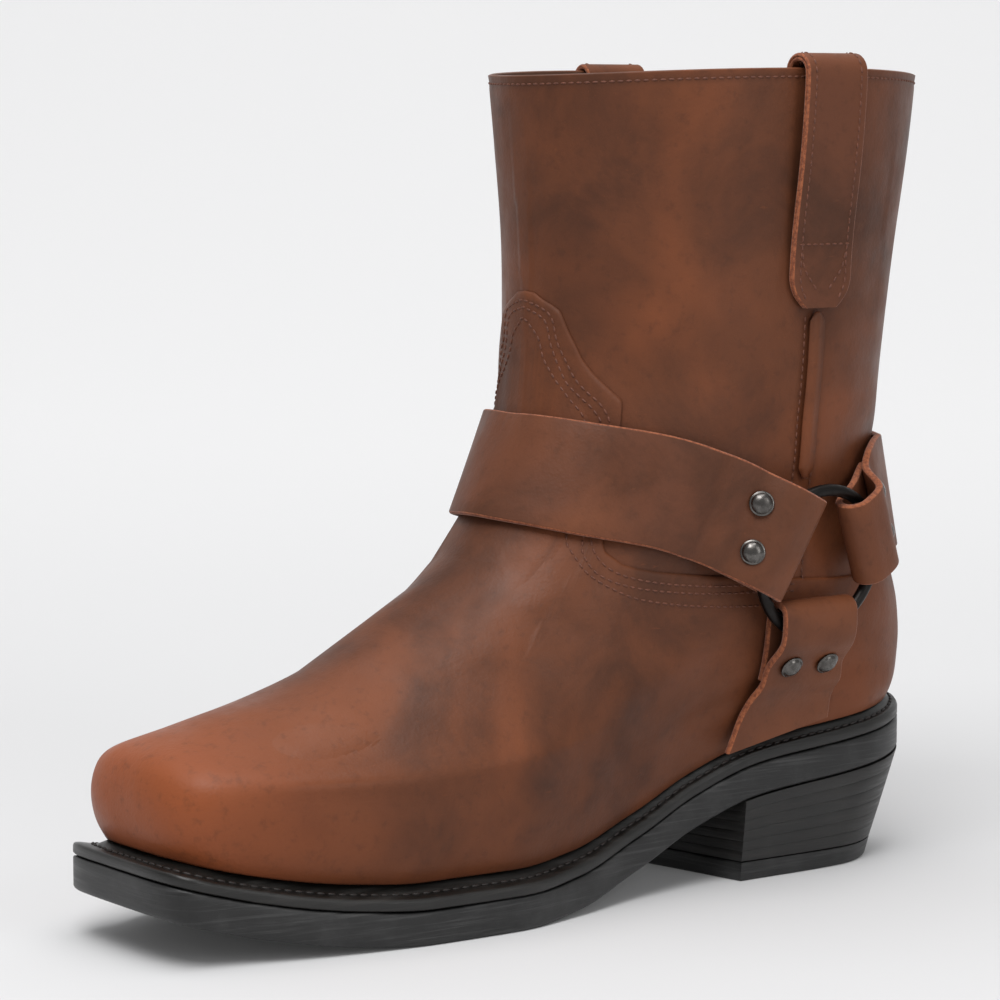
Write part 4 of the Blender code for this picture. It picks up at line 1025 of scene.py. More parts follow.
def cap_seat(tree, spot, end):
    """Place and direction of a cap whose whole base clears the strap."""
    below = [tree.ray_cast(spot + end.out * RAY_REACH, -end.out, 2.0 * RAY_REACH)[0]]
    rim = []
    for k in range(CAP_RAYS):
        turn = 2.0 * math.pi * k / CAP_RAYS
        offset = (end.away * math.cos(turn) + end.across * math.sin(turn)) * RIVET_RADIUS
        rim.append(tree.ray_cast(spot + offset + end.out * RAY_REACH, -end.out, 2.0 * RAY_REACH)[0])
        half_way = spot + 0.5 * offset + end.out * RAY_REACH
        below.append(tree.ray_cast(half_way, -end.out, 2.0 * RAY_REACH)[0])
    quarter = CAP_RAYS // 4
    normal = (rim[0] - rim[2 * quarter]).cross(rim[quarter] - rim[3 * quarter]).normalized()
    if normal.dot(end.out) < 0.0:
        normal = -normal
    centre = sum(rim, Vector()) / len(rim)
    height = max((point - centre).dot(normal) for point in rim + below)
    return centre + normal * (height + SEAT_GAP), normal


def shaft_side(tree, side, z, s=None):
    """Outside and inside of the shaft's side at height z, off the centre line."""
    s = PULL_STATION if s is None else s
    out = Vector((side, 0.0, 0.0))
    outside = tree.ray_cast(Vector((side * OUTSIDE, -s, z)), -out, 2.0 * OUTSIDE)[0]
    inside = tree.ray_cast(Vector((0.0, -s, z)), out, 2.0 * OUTSIDE)[0]
    return side * outside.x, side * inside.x


def pull_sides(tree, side, z):
    """Outside and inside of the shaft that a pull strap's whole width clears."""
    edges = [
        shaft_side(tree, side, z, PULL_STATION + 0.5 * PULL_WIDTH * share) for share in (-1.0, 0.0, 1.0)
    ]
    return max(edge[0] for edge in edges), min(edge[1] for edge in edges)


# Sole pieces

# Shares of the way from toe to heel, closer together towards both ends
SOLE_ALONG = np.concatenate([
    0.08 * (1.0 - np.cos(np.linspace(0.0, math.pi / 2, 40))),
    np.linspace(0.085, 0.86, 110),
    1.0 - 0.135 * (1.0 - np.cos(np.linspace(math.pi / 2, 0.0, 36))),
])


def nested_loop(share, height, along=SOLE_ALONG, pull=0.0):
    """Loop of the sole's plan, pulled in by a share of the margin plus an even pull."""
    front = SOLE_LENGTH - TOE_MARGIN * share - pull
    back = HEEL_MARGIN * share + pull
    s = front + (back - front) * along
    nose = rounding(front - s, PLAN_NOSE, PLAN_NOSE_FULLNESS, 1.0 / PLAN_NOSE_FULLNESS)
    tail = rounding(s - back, PLAN_TAIL, 2.0, 0.5)
    inset = margin(s) * share + pull
    z = height(s)
    outer = np.stack([(plan_body(OUTER, s) - inset) * nose * tail, -s, z], axis=1)
    inner = np.stack([-(plan_body(INNER, s) - inset) * nose * tail, -s, z], axis=1)
    return [tuple(p) for p in outer] + [tuple(p) for p in inner[-2:0:-1]]


def raised(height, offset):
    """A height over the sole, moved up by an offset."""
    def moved(s):
        return height(s) + offset
    return moved


# Section of the welt: its outer edge, and the slope up to the upper
WELT_UNDER_EDGE = [
    # rise over its bottom, pull inwards
    (0.0, 0.0011),
    (0.0001, 0.0005),
    (0.0006, 0.0),
]
WELT_TOP_EDGE = [
    # rise over its top edge, pull inwards
    (-0.0013, 0.0),
    (-0.0006, 0.0002),
    (-0.0002, 0.0006),
]
WELT_PROFILE = [
    # share of the margin inwards, rise as a share of the welt's rise
    (0.16, 0.02),
    (0.30, 0.08),
    (0.44, 0.16),
    (0.52, 0.12),
    (0.60, 0.12),
    (0.68, 0.30),
    (0.84, 0.62),
    (1.00, 1.00),
    (1.25, 1.08),
]
WELT_SEAM_SHARE = 0.56
WELT_SEAM_RISE = 0.12


def build_welt(materials):
    """Welt whose top slopes up to the upper, with a groove for its stitches."""
    bottom = raised(underside, OUTSOLE_EDGE + SEAT_GAP)
    loops = [nested_loop(0.0, raised(bottom, rise), pull=pull) for rise, pull in WELT_UNDER_EDGE]
    loops += [nested_loop(0.0, raised(welt_edge_top, rise), pull=pull) for rise, pull in WELT_TOP_EDGE]
    for share, rise in WELT_PROFILE:
        loops.append(nested_loop(share, raised(welt_edge_top, WELT_RISE * rise)))
    return plate_piece("welt_dressed", loops, materials)


OUTSOLE_PROFILE = [
    # rise over the underside, pull inwards
    (0.0, 0.0016),
    (0.0001, 0.0009),
    (0.0005, 0.0003),
    (0.0012, 0.0),
    (0.25 * OUTSOLE_EDGE, 0.0),
    (0.50 * OUTSOLE_EDGE, 0.0),
    (0.75 * OUTSOLE_EDGE, 0.0),
    (OUTSOLE_EDGE - 0.0008, 0.0),
    (OUTSOLE_EDGE - 0.0003, 0.0002),
    (OUTSOLE_EDGE, 0.0009),
]


def build_outsole(materials):
    """Flat rubber sole with a trimmed edge."""
    loops = [nested_loop(0.0, raised(underside, rise), pull=pull) for rise, pull in OUTSOLE_PROFILE]
    return plate_piece("outsole_dressed", loops, materials)


# Shares of the way from the heel's breast to its back, closer round the back
HEEL_ALONG = np.concatenate([
    np.linspace(0.0, 0.70, 26),
    0.70 + 0.30 * np.sin(np.linspace(0.0, math.pi / 2, 34))[1:],
])


def heel_loop(height_share, level, pull):
    """U-shaped loop of the heel; height_share is 0 on the floor and 1 at the outsole."""
    rake = (1.0 - height_share) * HEEL_BACK_RAKE + pull
    narrow = (1.0 - height_share) * HEEL_SIDE_RAKE + pull
    breast = HEEL_BREAST - pull
    outer = []
    inner = []
    for share in HEEL_ALONG:
        s = breast - share * (breast - rake)
        tail = rounding(s - rake, PLAN_TAIL - 0.5 * rake, 2.0, 0.5)
        taper = (1.0 - height_share) * HEEL_BACK_TAPER * share
        for side, row in ((OUTER, outer), (INNER, inner)):
            width = (plan_body(side, s) - narrow - taper) * tail
            skew = BREAST_SKEW * (1.0 - share) * (0.0 if side == OUTER else 1.0)
            row.append((side * width, -(s + skew), level(s + skew)))
    return outer + inner[-2::-1]


def heel_piece(name, loops, materials):
    """Closed block from the heel's loops, lowest first."""
    count = len(loops[0])
    half = count // 2
    faces = []
    for k in range(len(loops) - 1):
        faces += loop_faces(k * count, (k + 1) * count, count)
    for start in (0, (len(loops) - 1) * count):
        for j in range(half - 1):
            a = start + j
            b = start + count - 1 - j
            faces.append((a, a + 1, b - 1, b))
        faces.append((start + half - 1, start + half, start + half + 1))
    points = [p for loop in loops for p in loop]
    return add_piece(name, points, faces, materials, sharp=0.9)


HEEL_LAYERS = 6
LAYER_GROOVE = 0.00012
LAYER_LIP = 0.04
LAYER_PROFILE = [
    # share of the layer's height, pull inwards
    (0.0, LAYER_GROOVE),
    (LAYER_LIP, 0.0),
    (1.0 - LAYER_LIP, 0.0),
    (1.0, LAYER_GROOVE),
]
LIFT_PROFILE = [
    # height, pull inwards
    (0.0, 0.0009),
    (0.0002, 0.0004),
    (0.0007, 0.0),
    (0.0058, 0.0),
    (0.0063, 0.0002),
    (0.0065, 0.0008),
]


def flat(height):
    """Level that is the same all along the foot."""
    def level(_):
        return height
    return level


def between(low, high, share):
    """Level that lies a share of the way from one level to another."""
    def level(s):
        return low(s) + share * (high(s) - low(s))
    return level


def build_heel_stack(materials):
    """Leather layers of the heel, each with a fine groove above and below."""
    low = flat(LIFT_THICKNESS + SEAT_GAP)
    high = raised(underside, -SEAT_GAP)
    share_low = LIFT_THICKNESS / HEEL_HEIGHT
    loops = []
    for layer in range(HEEL_LAYERS):
        for part, pull in LAYER_PROFILE:
            share = (layer + part) / HEEL_LAYERS
            loops.append(heel_loop(share_low + share * (1.0 - share_low), between(low, high, share), pull))
    return heel_piece("heel_stack_dressed", loops, materials)


def build_heel_lift(materials):
    """Rubber lift under the heel."""
    loops = [heel_loop(z / HEEL_HEIGHT, flat(z), pull) for z, pull in LIFT_PROFILE]
    return heel_piece("heel_lift_dressed", loops, materials)


# Straps

SECTION_CORNER = 0.0009
SECTION_STEPS = 4
SECTION_FLATS = 6
# Faces of a section out past this share of its half width are raw edge
EDGE_SHARE = 0.9992

# Stations along each kind of strap and along the side seam
WRAPPED_STATIONS = 320
RING_STRAP_STATIONS = 120
PULL_STRAP_STATIONS = 170
SIDE_SEAM_STATIONS = 70


def strap_section(half_width, thickness, groove):
    """Closed section of a strap with rounded corners, as distances across and out."""
    half = 0.5 * thickness
    corner = min(SECTION_CORNER, 0.9 * half)
    rows = []
    for across_sign, out_sign in ((1.0, 1.0), (1.0, -1.0), (-1.0, -1.0), (-1.0, 1.0)):
        for k in range(SECTION_STEPS + 1):
            turn = 0.5 * math.pi * k / SECTION_STEPS
            if across_sign * out_sign > 0.0:
                a, b = math.sin(turn), math.cos(turn)
            else:
                a, b = math.cos(turn), math.sin(turn)
            x = across_sign * (half_width - corner + corner * a)
            y = out_sign * (half - corner + corner * b)
            rows.append([x, y])
        if across_sign * out_sign > 0.0:
            rows.append([across_sign * (half_width - groove), 0.0])
        else:
            for k in range(1, SECTION_FLATS):
                share = 1.0 - 2.0 * k / SECTION_FLATS
                rows.append([across_sign * half_width * share, out_sign * half])
    return rows


def strap_piece(name, stations, thickness, materials, groove=0.0):
    """Strap along its stations, with raw edges as its second material."""
    points = []
    for i, (centre, across, half) in enumerate(stations):
        face = heading(stations, i).cross(across).normalized()
        for x, y in strap_section(half, thickness, groove):
            points.append(centre + across * x + face * y)
    section = strap_section(1.0, thickness, groove)
    rows = len(section)
    is_edge = []
    for k in range(rows):
        reach = min(abs(section[k][0]), abs(section[(k + 1) % rows][0]))
        is_edge.append(reach > EDGE_SHARE)
    faces = []
    picks = []
    for i in range(len(stations) - 1):
        faces += loop_faces(i * rows, (i + 1) * rows, rows)
        picks += [1 if edge else 0 for edge in is_edge]
    for start in (0, (len(stations) - 1) * rows):
        faces.append(tuple(range(start, start + rows)))
        picks.append(1)
    return add_piece(name, points, faces, materials, picks=picks, sharp=1.2)


class RingPlace:
    """Plane and centre of one ring, where the solid ring is."""

    def __init__(self, side, node):
        low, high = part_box(node)
        lean = math.radians(RING_LEAN)
        self.side = side
        self.forward = Vector((0.0, -1.0, 0.0))
        self.up = Vector((side * math.sin(lean), 0.0, math.cos(lean)))
        self.out = Vector((side * math.cos(lean), 0.0, -math.sin(lean)))
        self.centre = 0.5 * (low + high) - Vector(TO_ROW)


def wrapped_strap_stations(tree, ends, width, line, rise):
    """Stations of a strap from the outer ring round the boot to the inner ring."""
    half = 0.5 * width
    runs = []
    for side in (OUTER, INNER):
        near = end_stations(ends[side], tree, width)
        laid = []
        for angle, share in line:
            point, across = wrapped_station(tree, side, angle, RING_HEIGHT + rise * share, half, STRAP_GAP)
            laid.append((point, across, half))
        runs.append((near, laid))
    flip = math.copysign(1.0, ends[OUTER].across.z)
    laid = [(p, a * flip, h) for p, a, h in runs[0][1]]
    laid += [(p, a * flip, h) for p, a, h in reversed(runs[1][1][:-1])]
    near_outer = runs[0][0]
    near_inner = list(reversed(runs[1][0]))
    curve = squared(resampled(near_outer[-2:] + laid + near_inner[:2], 44))
    first = stations_within(curve, near_outer[-2], near_outer[-1])
    last = stations_within(reversed(curve), near_inner[1], near_inner[0])
    curve = lifted(curve[first:len(curve) - last], tree, STRAP_GAP)
    return resampled(near_outer + curve + near_inner, WRAPPED_STATIONS)


def ring_strap_stations(place, tree):
    """Stations of the strap from the ring down to the welt."""
    side = place.side
    end = StrapEnd(place, RING_STRAP_TILT, RING_STRAP_END)
    near = end_stations(end, tree, RING_STRAP_WAIST)
    foot_station = RING_STATION + RING_STRAP_LEAN
    half_foot = 0.5 * RING_STRAP_FOOT
    slope = (feather(foot_station + half_foot) - feather(foot_station - half_foot)) / RING_STRAP_FOOT
    spread = np.linspace(-half_foot, half_foot, 7)
    foot_height = max(feather(foot_station + x) - slope * x for x in spread) + STRAP_GAP
    foot_across = Vector((0.0, -1.0, slope)).normalized()
    start = near[-1][0]
    laid = []
    for share in (0.5, 1.0):
        z = start.z + share * (foot_height - start.z)
        s = -start.y + share * (foot_station + start.y)
        half = 0.5 * (RING_STRAP_WAIST + share * (RING_STRAP_FOOT - RING_STRAP_WAIST))
        across = end.across.lerp(foot_across, share).normalized()
        out = Vector((side, 0.0, 0.0))
        hit = tree.ray_cast(Vector((side * OUTSIDE, -s, z)), -out, 2.0 * OUTSIDE)
        laid.append((seated(tree, hit[0], across, out, half, STRAP_GAP), across, half))
    curve = resampled(near[-1:] + laid, 6)
    curve = curve[:1] + lifted(curve[1:], tree, STRAP_GAP)
    return resampled(near[:-1] + curve, RING_STRAP_STATIONS)


RING_TURNS = 112
RING_AROUND = 20


def build_ring(name, place, materials):
    """Ring of round wire."""
    points = []
    for i in range(RING_TURNS):
        turn = 2.0 * math.pi * i / RING_TURNS
        away = place.forward * math.cos(turn) + place.up * math.sin(turn)
        for k in range(RING_AROUND):
            spin = 2.0 * math.pi * k / RING_AROUND
            wire = away * math.cos(spin) + place.out * math.sin(spin)
            points.append(place.centre + away * RING_RADIUS + wire * 0.5 * RING_WIRE)
    faces = []
    for i in range(RING_TURNS):
        following = (i + 1) % RING_TURNS
        faces += loop_faces(i * RING_AROUND, following * RING_AROUND, RING_AROUND)
    return add_piece(name, points, faces, materials)


PULL_END_LENGTH = 0.0110
PULL_END_SHARE = 0.52
PULL_OUTSIDE = [
    # share of the way up to the rim, share of the slack
    (0.0, 0.0),
    (0.16, 0.03),
    (0.34, 0.35),
    (0.55, 0.80),
    (0.75, 1.0),
    (0.92, 1.0),
]
PULL_INSIDE = (0.85, 0.62, 0.38, 0.16, 0.0)
PULL_BEND_STEPS = 12
# The shaft's sides are read this far below the rim
RIM_READING = 0.002


def pull_strap_stations(side, tree):
    """Stations of a pull strap from its outer end over the rim to its inner end."""
    rim = collar(PULL_STATION)
    low = rim - PULL_LENGTH + PULL_RISE
    rise, thickness, slack_room = PULL_LOOPS[side]
    half = 0.5 * thickness
    outside, inside = pull_sides(tree, side, rim - RIM_READING)
    crown = rim + rise
    bend = 0.5 * (outside - inside) + STRAP_GAP + half + 0.5 * slack_room
    middle = 0.5 * (outside + inside) + 0.5 * slack_room
    points = []
    for share, slack in PULL_OUTSIDE:
        z = low + share * (rim - low)
        x = pull_sides(tree, side, z)[0] + STRAP_GAP + half + slack_room * slack
        points.append((x, z))
    for k in range(PULL_BEND_STEPS + 1):
        turn = math.pi * k / PULL_BEND_STEPS
        points.append((middle + bend * math.cos(turn), crown - half - bend + bend * math.sin(turn)))
    for share in PULL_INSIDE:
        z = low + share * (rim - low)
        x = pull_sides(tree, side, z)[1] - STRAP_GAP - half
        points.append((x, z))
    across = Vector((0.0, 1.0, 0.0))
    rows = [(Vector((side * x, -PULL_STATION, z)), across, 0.5 * PULL_WIDTH) for x, z in points]
    rows = resampled(rows, PULL_STRAP_STATIONS)
    return narrowed_ends(rows, PULL_END_LENGTH, PULL_END_SHARE)


def narrowed_ends(stations, length, least):
    """Round a strap's ends off towards a narrower tip."""
    run = [0.0]
    for before, after in zip(stations, stations[1:]):
        run.append(run[-1] + (after[0] - before[0]).length)
    total = run[-1]
    result = []
    for (centre, across, half), at in zip(stations, run):
        near = min(at, total - at) / length
        share = 1.0 if near >= 1.0 else least + (1.0 - least) * (1.0 - (1.0 - near) ** 2.4)
        result.append((centre, across, half * share))
    return result


def side_seam_stations(side, tree):
    """Stations of the side seam's strip, from the ring up to the pull strap."""
    high = collar(PULL_STATION) - PULL_LENGTH + PULL_RISE - SEAM_CLEARANCE
    low = RING_HEIGHT + RING_RADIUS + 0.5 * RING_WIRE + SEAM_CLEARANCE
    across = Vector((0.0, 1.0, 0.0))
    rows = []
    for share in np.linspace(0.0, 1.0, 9):
        z = low + share * (high - low)
        s = RING_STATION + SEAM_LEAN + share * (PULL_STATION - RING_STATION - SEAM_LEAN)
        x = shaft_side(tree, side, z, s)[0] + 0.5 * SEAM_THICKNESS + SEAT_GAP
        rows.append((Vector((side * x, -s, z)), across, 0.5 * SEAM_WIDTH))
    return resampled(rows, SIDE_SEAM_STATIONS)


SEAM_STEPS = 12
SEAM_CROWN = 0.75
SEAM_END_SHARE = 0.35
SEAM_END_STATIONS = 4


def build_side_seam(name, side, tree, materials):
    """Raised, rounded strip over the side seam."""
    stations = side_seam_stations(side, tree)
    points = []
    for i, (centre, across, half) in enumerate(stations):
        face = heading(stations, i).cross(across).normalized() * side
        from_end = min(i, len(stations) - 1 - i, SEAM_END_STATIONS) / SEAM_END_STATIONS
        size = SEAM_END_SHARE + (1.0 - SEAM_END_SHARE) * from_end
        for k in range(SEAM_STEPS + 1):
            turn = math.pi * k / SEAM_STEPS
            rise = math.sin(turn) ** SEAM_CROWN * SEAM_THICKNESS * size - 0.5 * SEAM_THICKNESS
            points.append(centre + across * half * math.cos(turn) * size + face * rise)
        points.append(centre - face * (0.5 * SEAM_THICKNESS + SEAT_GAP))
    count = SEAM_STEPS + 2
    faces = []
    for i in range(len(stations) - 1):
        faces += loop_faces(i * count, (i + 1) * count, count)
    faces.append(tuple(range(count)))
    faces.append(tuple(range((len(stations) - 1) * count, len(stations) * count)))
    return add_piece(name, points, faces, materials)


# Geometry Nodes: stitches along sewn rows, rivets on their seats

def add_node(tree, kind, inputs=None, **settings):
    """Add a node with its settings; inputs take values or other nodes' sockets."""
    node = tree.nodes.new(kind)
    for key, value in settings.items():
        setattr(node, key, value)
    for key, value in (inputs or {}).items():
        socket = node.inputs[key]
        if isinstance(value, bpy.types.NodeSocket):
            tree.links.new(value, socket)
        else:
            socket.default_value = value
    return node


def named_input(tree, name, kind, default=None):
    """Add a named input to a tree and give the identifier that sets it."""
    socket = tree.interface.new_socket(name=name, in_out="INPUT", socket_type=kind)
    if default is not None:
        socket.default_value = default
    return socket.identifier


def stitch_tree():
    """Tree that lays one stitch after another along the rows of a mesh's edges."""
    tree = bpy.data.node_groups.new("stitches_along_rows", "GeometryNodeTree")
    tree.interface.new_socket(name="Geometry", in_out="OUTPUT", socket_type="NodeSocketGeometry")
    named_input(tree, "Geometry", "NodeSocketGeometry")
    keys = {
        "Pitch": named_input(tree, "Pitch", "NodeSocketFloat", 0.0028),
        "Length": named_input(tree, "Length", "NodeSocketFloat", 0.0021),
        "Width": named_input(tree, "Width", "NodeSocketFloat", 0.0007),
        "Height": named_input(tree, "Height", "NodeSocketFloat", 0.0005),
        "Thread": named_input(tree, "Thread", "NodeSocketMaterial"),
    }
    group_in = tree.nodes.new("NodeGroupInput")
    rows = add_node(tree, "GeometryNodeMeshToCurve", {"Mesh": group_in.outputs["Geometry"]})
    spaced = add_node(
        tree, "GeometryNodeResampleCurve",
        {"Curve": rows.outputs[0], "Length": group_in.outputs["Pitch"]}, mode="LENGTH",
    )
    stitch = add_node(tree, "GeometryNodeMeshUVSphere", {"Segments": 8, "Rings": 6, "Radius": 0.5})
    size = add_node(tree, "ShaderNodeCombineXYZ", {
        "X": group_in.outputs["Length"], "Y": group_in.outputs["Width"], "Z": group_in.outputs["Height"],
    })
    sized = add_node(
        tree, "GeometryNodeTransform", {"Geometry": stitch.outputs["Mesh"], "Scale": size.outputs[0]},
    )
    tangent = tree.nodes.new("GeometryNodeInputTangent")
    facing = add_node(
        tree, "GeometryNodeInputNamedAttribute", {"Name": "facing"}, data_type="FLOAT_VECTOR",
    )
    turned = add_node(
        tree, "FunctionNodeAlignRotationToVector", {"Vector": tangent.outputs[0]}, axis="X",
    )
    facing_out = next(s for s in facing.outputs if s.enabled and s.name == "Attribute")
    upright = add_node(
        tree, "FunctionNodeAlignRotationToVector",
        {"Rotation": turned.outputs[0], "Vector": facing_out}, axis="Z", pivot_axis="X",
    )
    placed = add_node(tree, "GeometryNodeInstanceOnPoints", {
        "Points": spaced.outputs[0], "Instance": sized.outputs[0], "Rotation": upright.outputs[0],
    })
    real = add_node(tree, "GeometryNodeRealizeInstances", {"Geometry": placed.outputs[0]})
    smooth = add_node(tree, "GeometryNodeSetShadeSmooth", {"Geometry": real.outputs[0]})
    named = add_node(
        tree, "GeometryNodeSetMaterial",
        {"Geometry": smooth.outputs[0], "Material": group_in.outputs["Thread"]},
    )
    group_out = tree.nodes.new("NodeGroupOutput")
    tree.links.new(named.outputs[0], group_out.inputs[0])
    return tree, keys


def rivet_tree():
    """Tree that sets a turned rivet cap on each point, facing along its normal."""
    tree = bpy.data.node_groups.new("rivets_on_seats", "GeometryNodeTree")
    tree.interface.new_socket(name="Geometry", in_out="OUTPUT", socket_type="NodeSocketGeometry")
    named_input(tree, "Geometry", "NodeSocketGeometry")
    keys = {
        "Cap": named_input(tree, "Cap", "NodeSocketObject"),
        "Metal": named_input(tree, "Metal", "NodeSocketMaterial"),
    }
    group_in = tree.nodes.new("NodeGroupInput")
    cap = add_node(tree, "GeometryNodeObjectInfo", {"Object": group_in.outputs["Cap"]})
    facing = add_node(
        tree, "GeometryNodeInputNamedAttribute", {"Name": "facing"}, data_type="FLOAT_VECTOR",
    )
    facing_out = next(s for s in facing.outputs if s.enabled and s.name == "Attribute")
    upright = add_node(tree, "FunctionNodeAlignRotationToVector", {"Vector": facing_out}, axis="Z")
    placed = add_node(tree, "GeometryNodeInstanceOnPoints", {
        "Points": group_in.outputs["Geometry"], "Instance": cap.outputs["Geometry"],
        "Rotation": upright.outputs[0],
    })
    real = add_node(tree, "GeometryNodeRealizeInstances", {"Geometry": placed.outputs[0]})
    named = add_node(
        tree, "GeometryNodeSetMaterial",
        {"Geometry": real.outputs[0], "Material": group_in.outputs["Metal"]},
    )
    group_out = tree.nodes.new("NodeGroupOutput")
    tree.links.new(named.outputs[0], group_out.inputs[0])
    return tree, keys


def grown(name, points, edges, facings, tree, keys, values):
    """Run a tree on points with their facings and keep the result as a plain piece."""
    seed = bpy.data.meshes.new(name + "_rows")
    seed.from_pydata((np.array(points, dtype=float) + TO_ROW).tolist(), edges, [])
    layer = seed.attributes.new("facing", "FLOAT_VECTOR", "POINT")
    layer.data.foreach_set("vector", np.array(facings, dtype=np.float32).ravel())
    source = bpy.data.objects.new(name + "_rows", seed)
    bpy.context.scene.collection.objects.link(source)
    modifier = source.modifiers.new("grow", "NODES")
    modifier.node_group = tree
    for key, value in values.items():
        modifier[keys[key]] = value
    bpy.context.view_layer.update()
    graph = bpy.context.evaluated_depsgraph_get()
    mesh = bpy.data.meshes.new_from_object(source.evaluated_get(graph))
    mesh.name = name
    bpy.data.objects.remove(source)
    piece = bpy.data.objects.new(name, mesh)
    bpy.context.scene.collection.objects.link(piece)
    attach(piece, ROOT)
    return piece


STITCHES, STITCH_KEYS = stitch_tree()
RIVETS, RIVET_KEYS = rivet_tree()


# Stitches: pitch along the row, then length, width and height of the thread that shows
FINE_STITCH = (0.0027, 0.0021, 0.00075, 0.0006)
WELT_STITCH = (0.0036, 0.0030, 0.0011, 0.0010)


def stitch_piece(name, rows, thread, stitch=FINE_STITCH):
    """Stitches along rows; each row is a list of points with normals."""
    points = []
    edges = []
    facings = []
    for row in rows:
        start = len(points)
        for point, normal in row:
            points.append(tuple(point))
            facings.append(tuple(normal))
        edges += [(start + i, start + i + 1) for i in range(len(row) - 1)]
    values = dict(zip(("Pitch", "Length", "Width", "Height"), stitch))
    values["Thread"] = thread
    return grown(name, points, edges, facings, STITCHES, STITCH_KEYS, values)


CAP_PROFILE = [
    # radius and height, as shares of the rivet's
    (0.94, 0.00), (1.00, 0.06), (1.00, 0.20), (0.96, 0.27), (0.90, 0.27), (0.86, 0.31),
    (0.80, 0.50), (0.68, 0.70), (0.52, 0.85), (0.34, 0.95), (0.16, 0.99),
]
CAP_TURNS = 28


def cap_object(material):
    """One turned rivet cap at the origin, used only as the tree's source."""
    builder = bmesh.new()
    rows = []
    for radius, height in CAP_PROFILE:
        row = []
        for k in range(CAP_TURNS):
            turn = 2.0 * math.pi * k / CAP_TURNS
            x = RIVET_RADIUS * radius * math.cos(turn)
            y = RIVET_RADIUS * radius * math.sin(turn)
            row.append(builder.verts.new((x, y, RIVET_HEIGHT * height)))
        rows.append(row)
    crown = builder.verts.new((0.0, 0.0, RIVET_HEIGHT))
    base = builder.verts.new((0.0, 0.0, 0.0))
    for k in range(CAP_TURNS):
        n = (k + 1) % CAP_TURNS
        builder.faces.new((base, rows[0][n], rows[0][k]))
        for low, high in zip(rows, rows[1:]):
            builder.faces.new((low[k], low[n], high[n], high[k]))
        builder.faces.new((rows[-1][k], rows[-1][n], crown))
    mesh = bpy.data.meshes.new("rivet_cap")
    builder.to_mesh(mesh)
    builder.free()
    mesh.shade_smooth()
    mesh.materials.append(material)
    made = bpy.data.objects.new("rivet_cap", mesh)
    bpy.context.scene.collection.objects.link(made)
    return made


# Finishes

def linear(code):
    """sRGB hex to linear colour with alpha."""
    parts = [int(code[i:i + 2], 16) / 255.0 for i in (0, 2, 4)]
    made = [p / 12.92 if p <= 0.04045 else ((p + 0.055) / 1.055) ** 2.4 for p in parts]
    return (*made, 1.0)


def new_finish(name):
    """Empty finish: the material, its node tree and its shader."""
    material = bpy.data.materials.new(name)
    material.use_nodes = True
    tree = material.node_tree
    return material, tree, tree.nodes["Principled BSDF"]


def place_of(tree):
    """Object coordinates, in metres."""
    return add_node(tree, "ShaderNodeTexCoord").outputs["Object"]


def noise(tree, where, scale, detail=4.0, roughness=0.55, distortion=0.0):
    """Soft noise whose scale is the number of clouds in a metre."""
    made = add_node(tree, "ShaderNodeTexNoise", {
        "Vector": where, "Scale": scale, "Detail": detail, "Roughness": roughness, "Distortion": distortion,
    })
    return made.outputs["Fac"]


def spread(tree, value, low, high, to_low=0.0, to_high=1.0):
    """A value from low to high, spread smoothly over another range."""
    made = add_node(tree, "ShaderNodeMapRange", {
        "Value": value, "From Min": low, "From Max": high, "To Min": to_low, "To Max": to_high,
    }, interpolation_type="SMOOTHSTEP")
    return made.outputs["Result"]


def mixed(tree, share, first, second):
    """Mix of two colours, given as sRGB hex or as another node's colour."""
    made = add_node(tree, "ShaderNodeMix", data_type="RGBA")
    for key, value in ((0, share), (6, first), (7, second)):
        socket = made.inputs[key]
        if isinstance(value, bpy.types.NodeSocket):
            tree.links.new(value, socket)
        elif isinstance(value, str):
            socket.default_value = linear(value)
        else:
            socket.default_value = value
    return made.outputs[2]


def maths(tree, operation, first, second):
    """One sum or product of two values."""
    made = add_node(tree, "ShaderNodeMath", {0: first, 1: second}, operation=operation)
    return made.outputs[0]


def stretched(tree, where, scale, turn=(0.0, 0.0, 0.0)):
    """Coordinates with a scale of their own along each axis."""
    made = add_node(tree, "ShaderNodeMapping", {"Vector": where, "Scale": scale, "Rotation": turn})
    return made.outputs[0]


def bumped(tree, shader, height, strength, distance, below=None):
    """Relief on the shader's normal, over the relief below where that is given."""
    inputs = {"Height": height, "Strength": strength, "Distance": distance}
    if below is not None:
        inputs["Normal"] = below
    made = add_node(tree, "ShaderNodeBump", inputs)
    tree.links.new(made.outputs[0], shader.inputs["Normal"])
    return made.outputs[0]


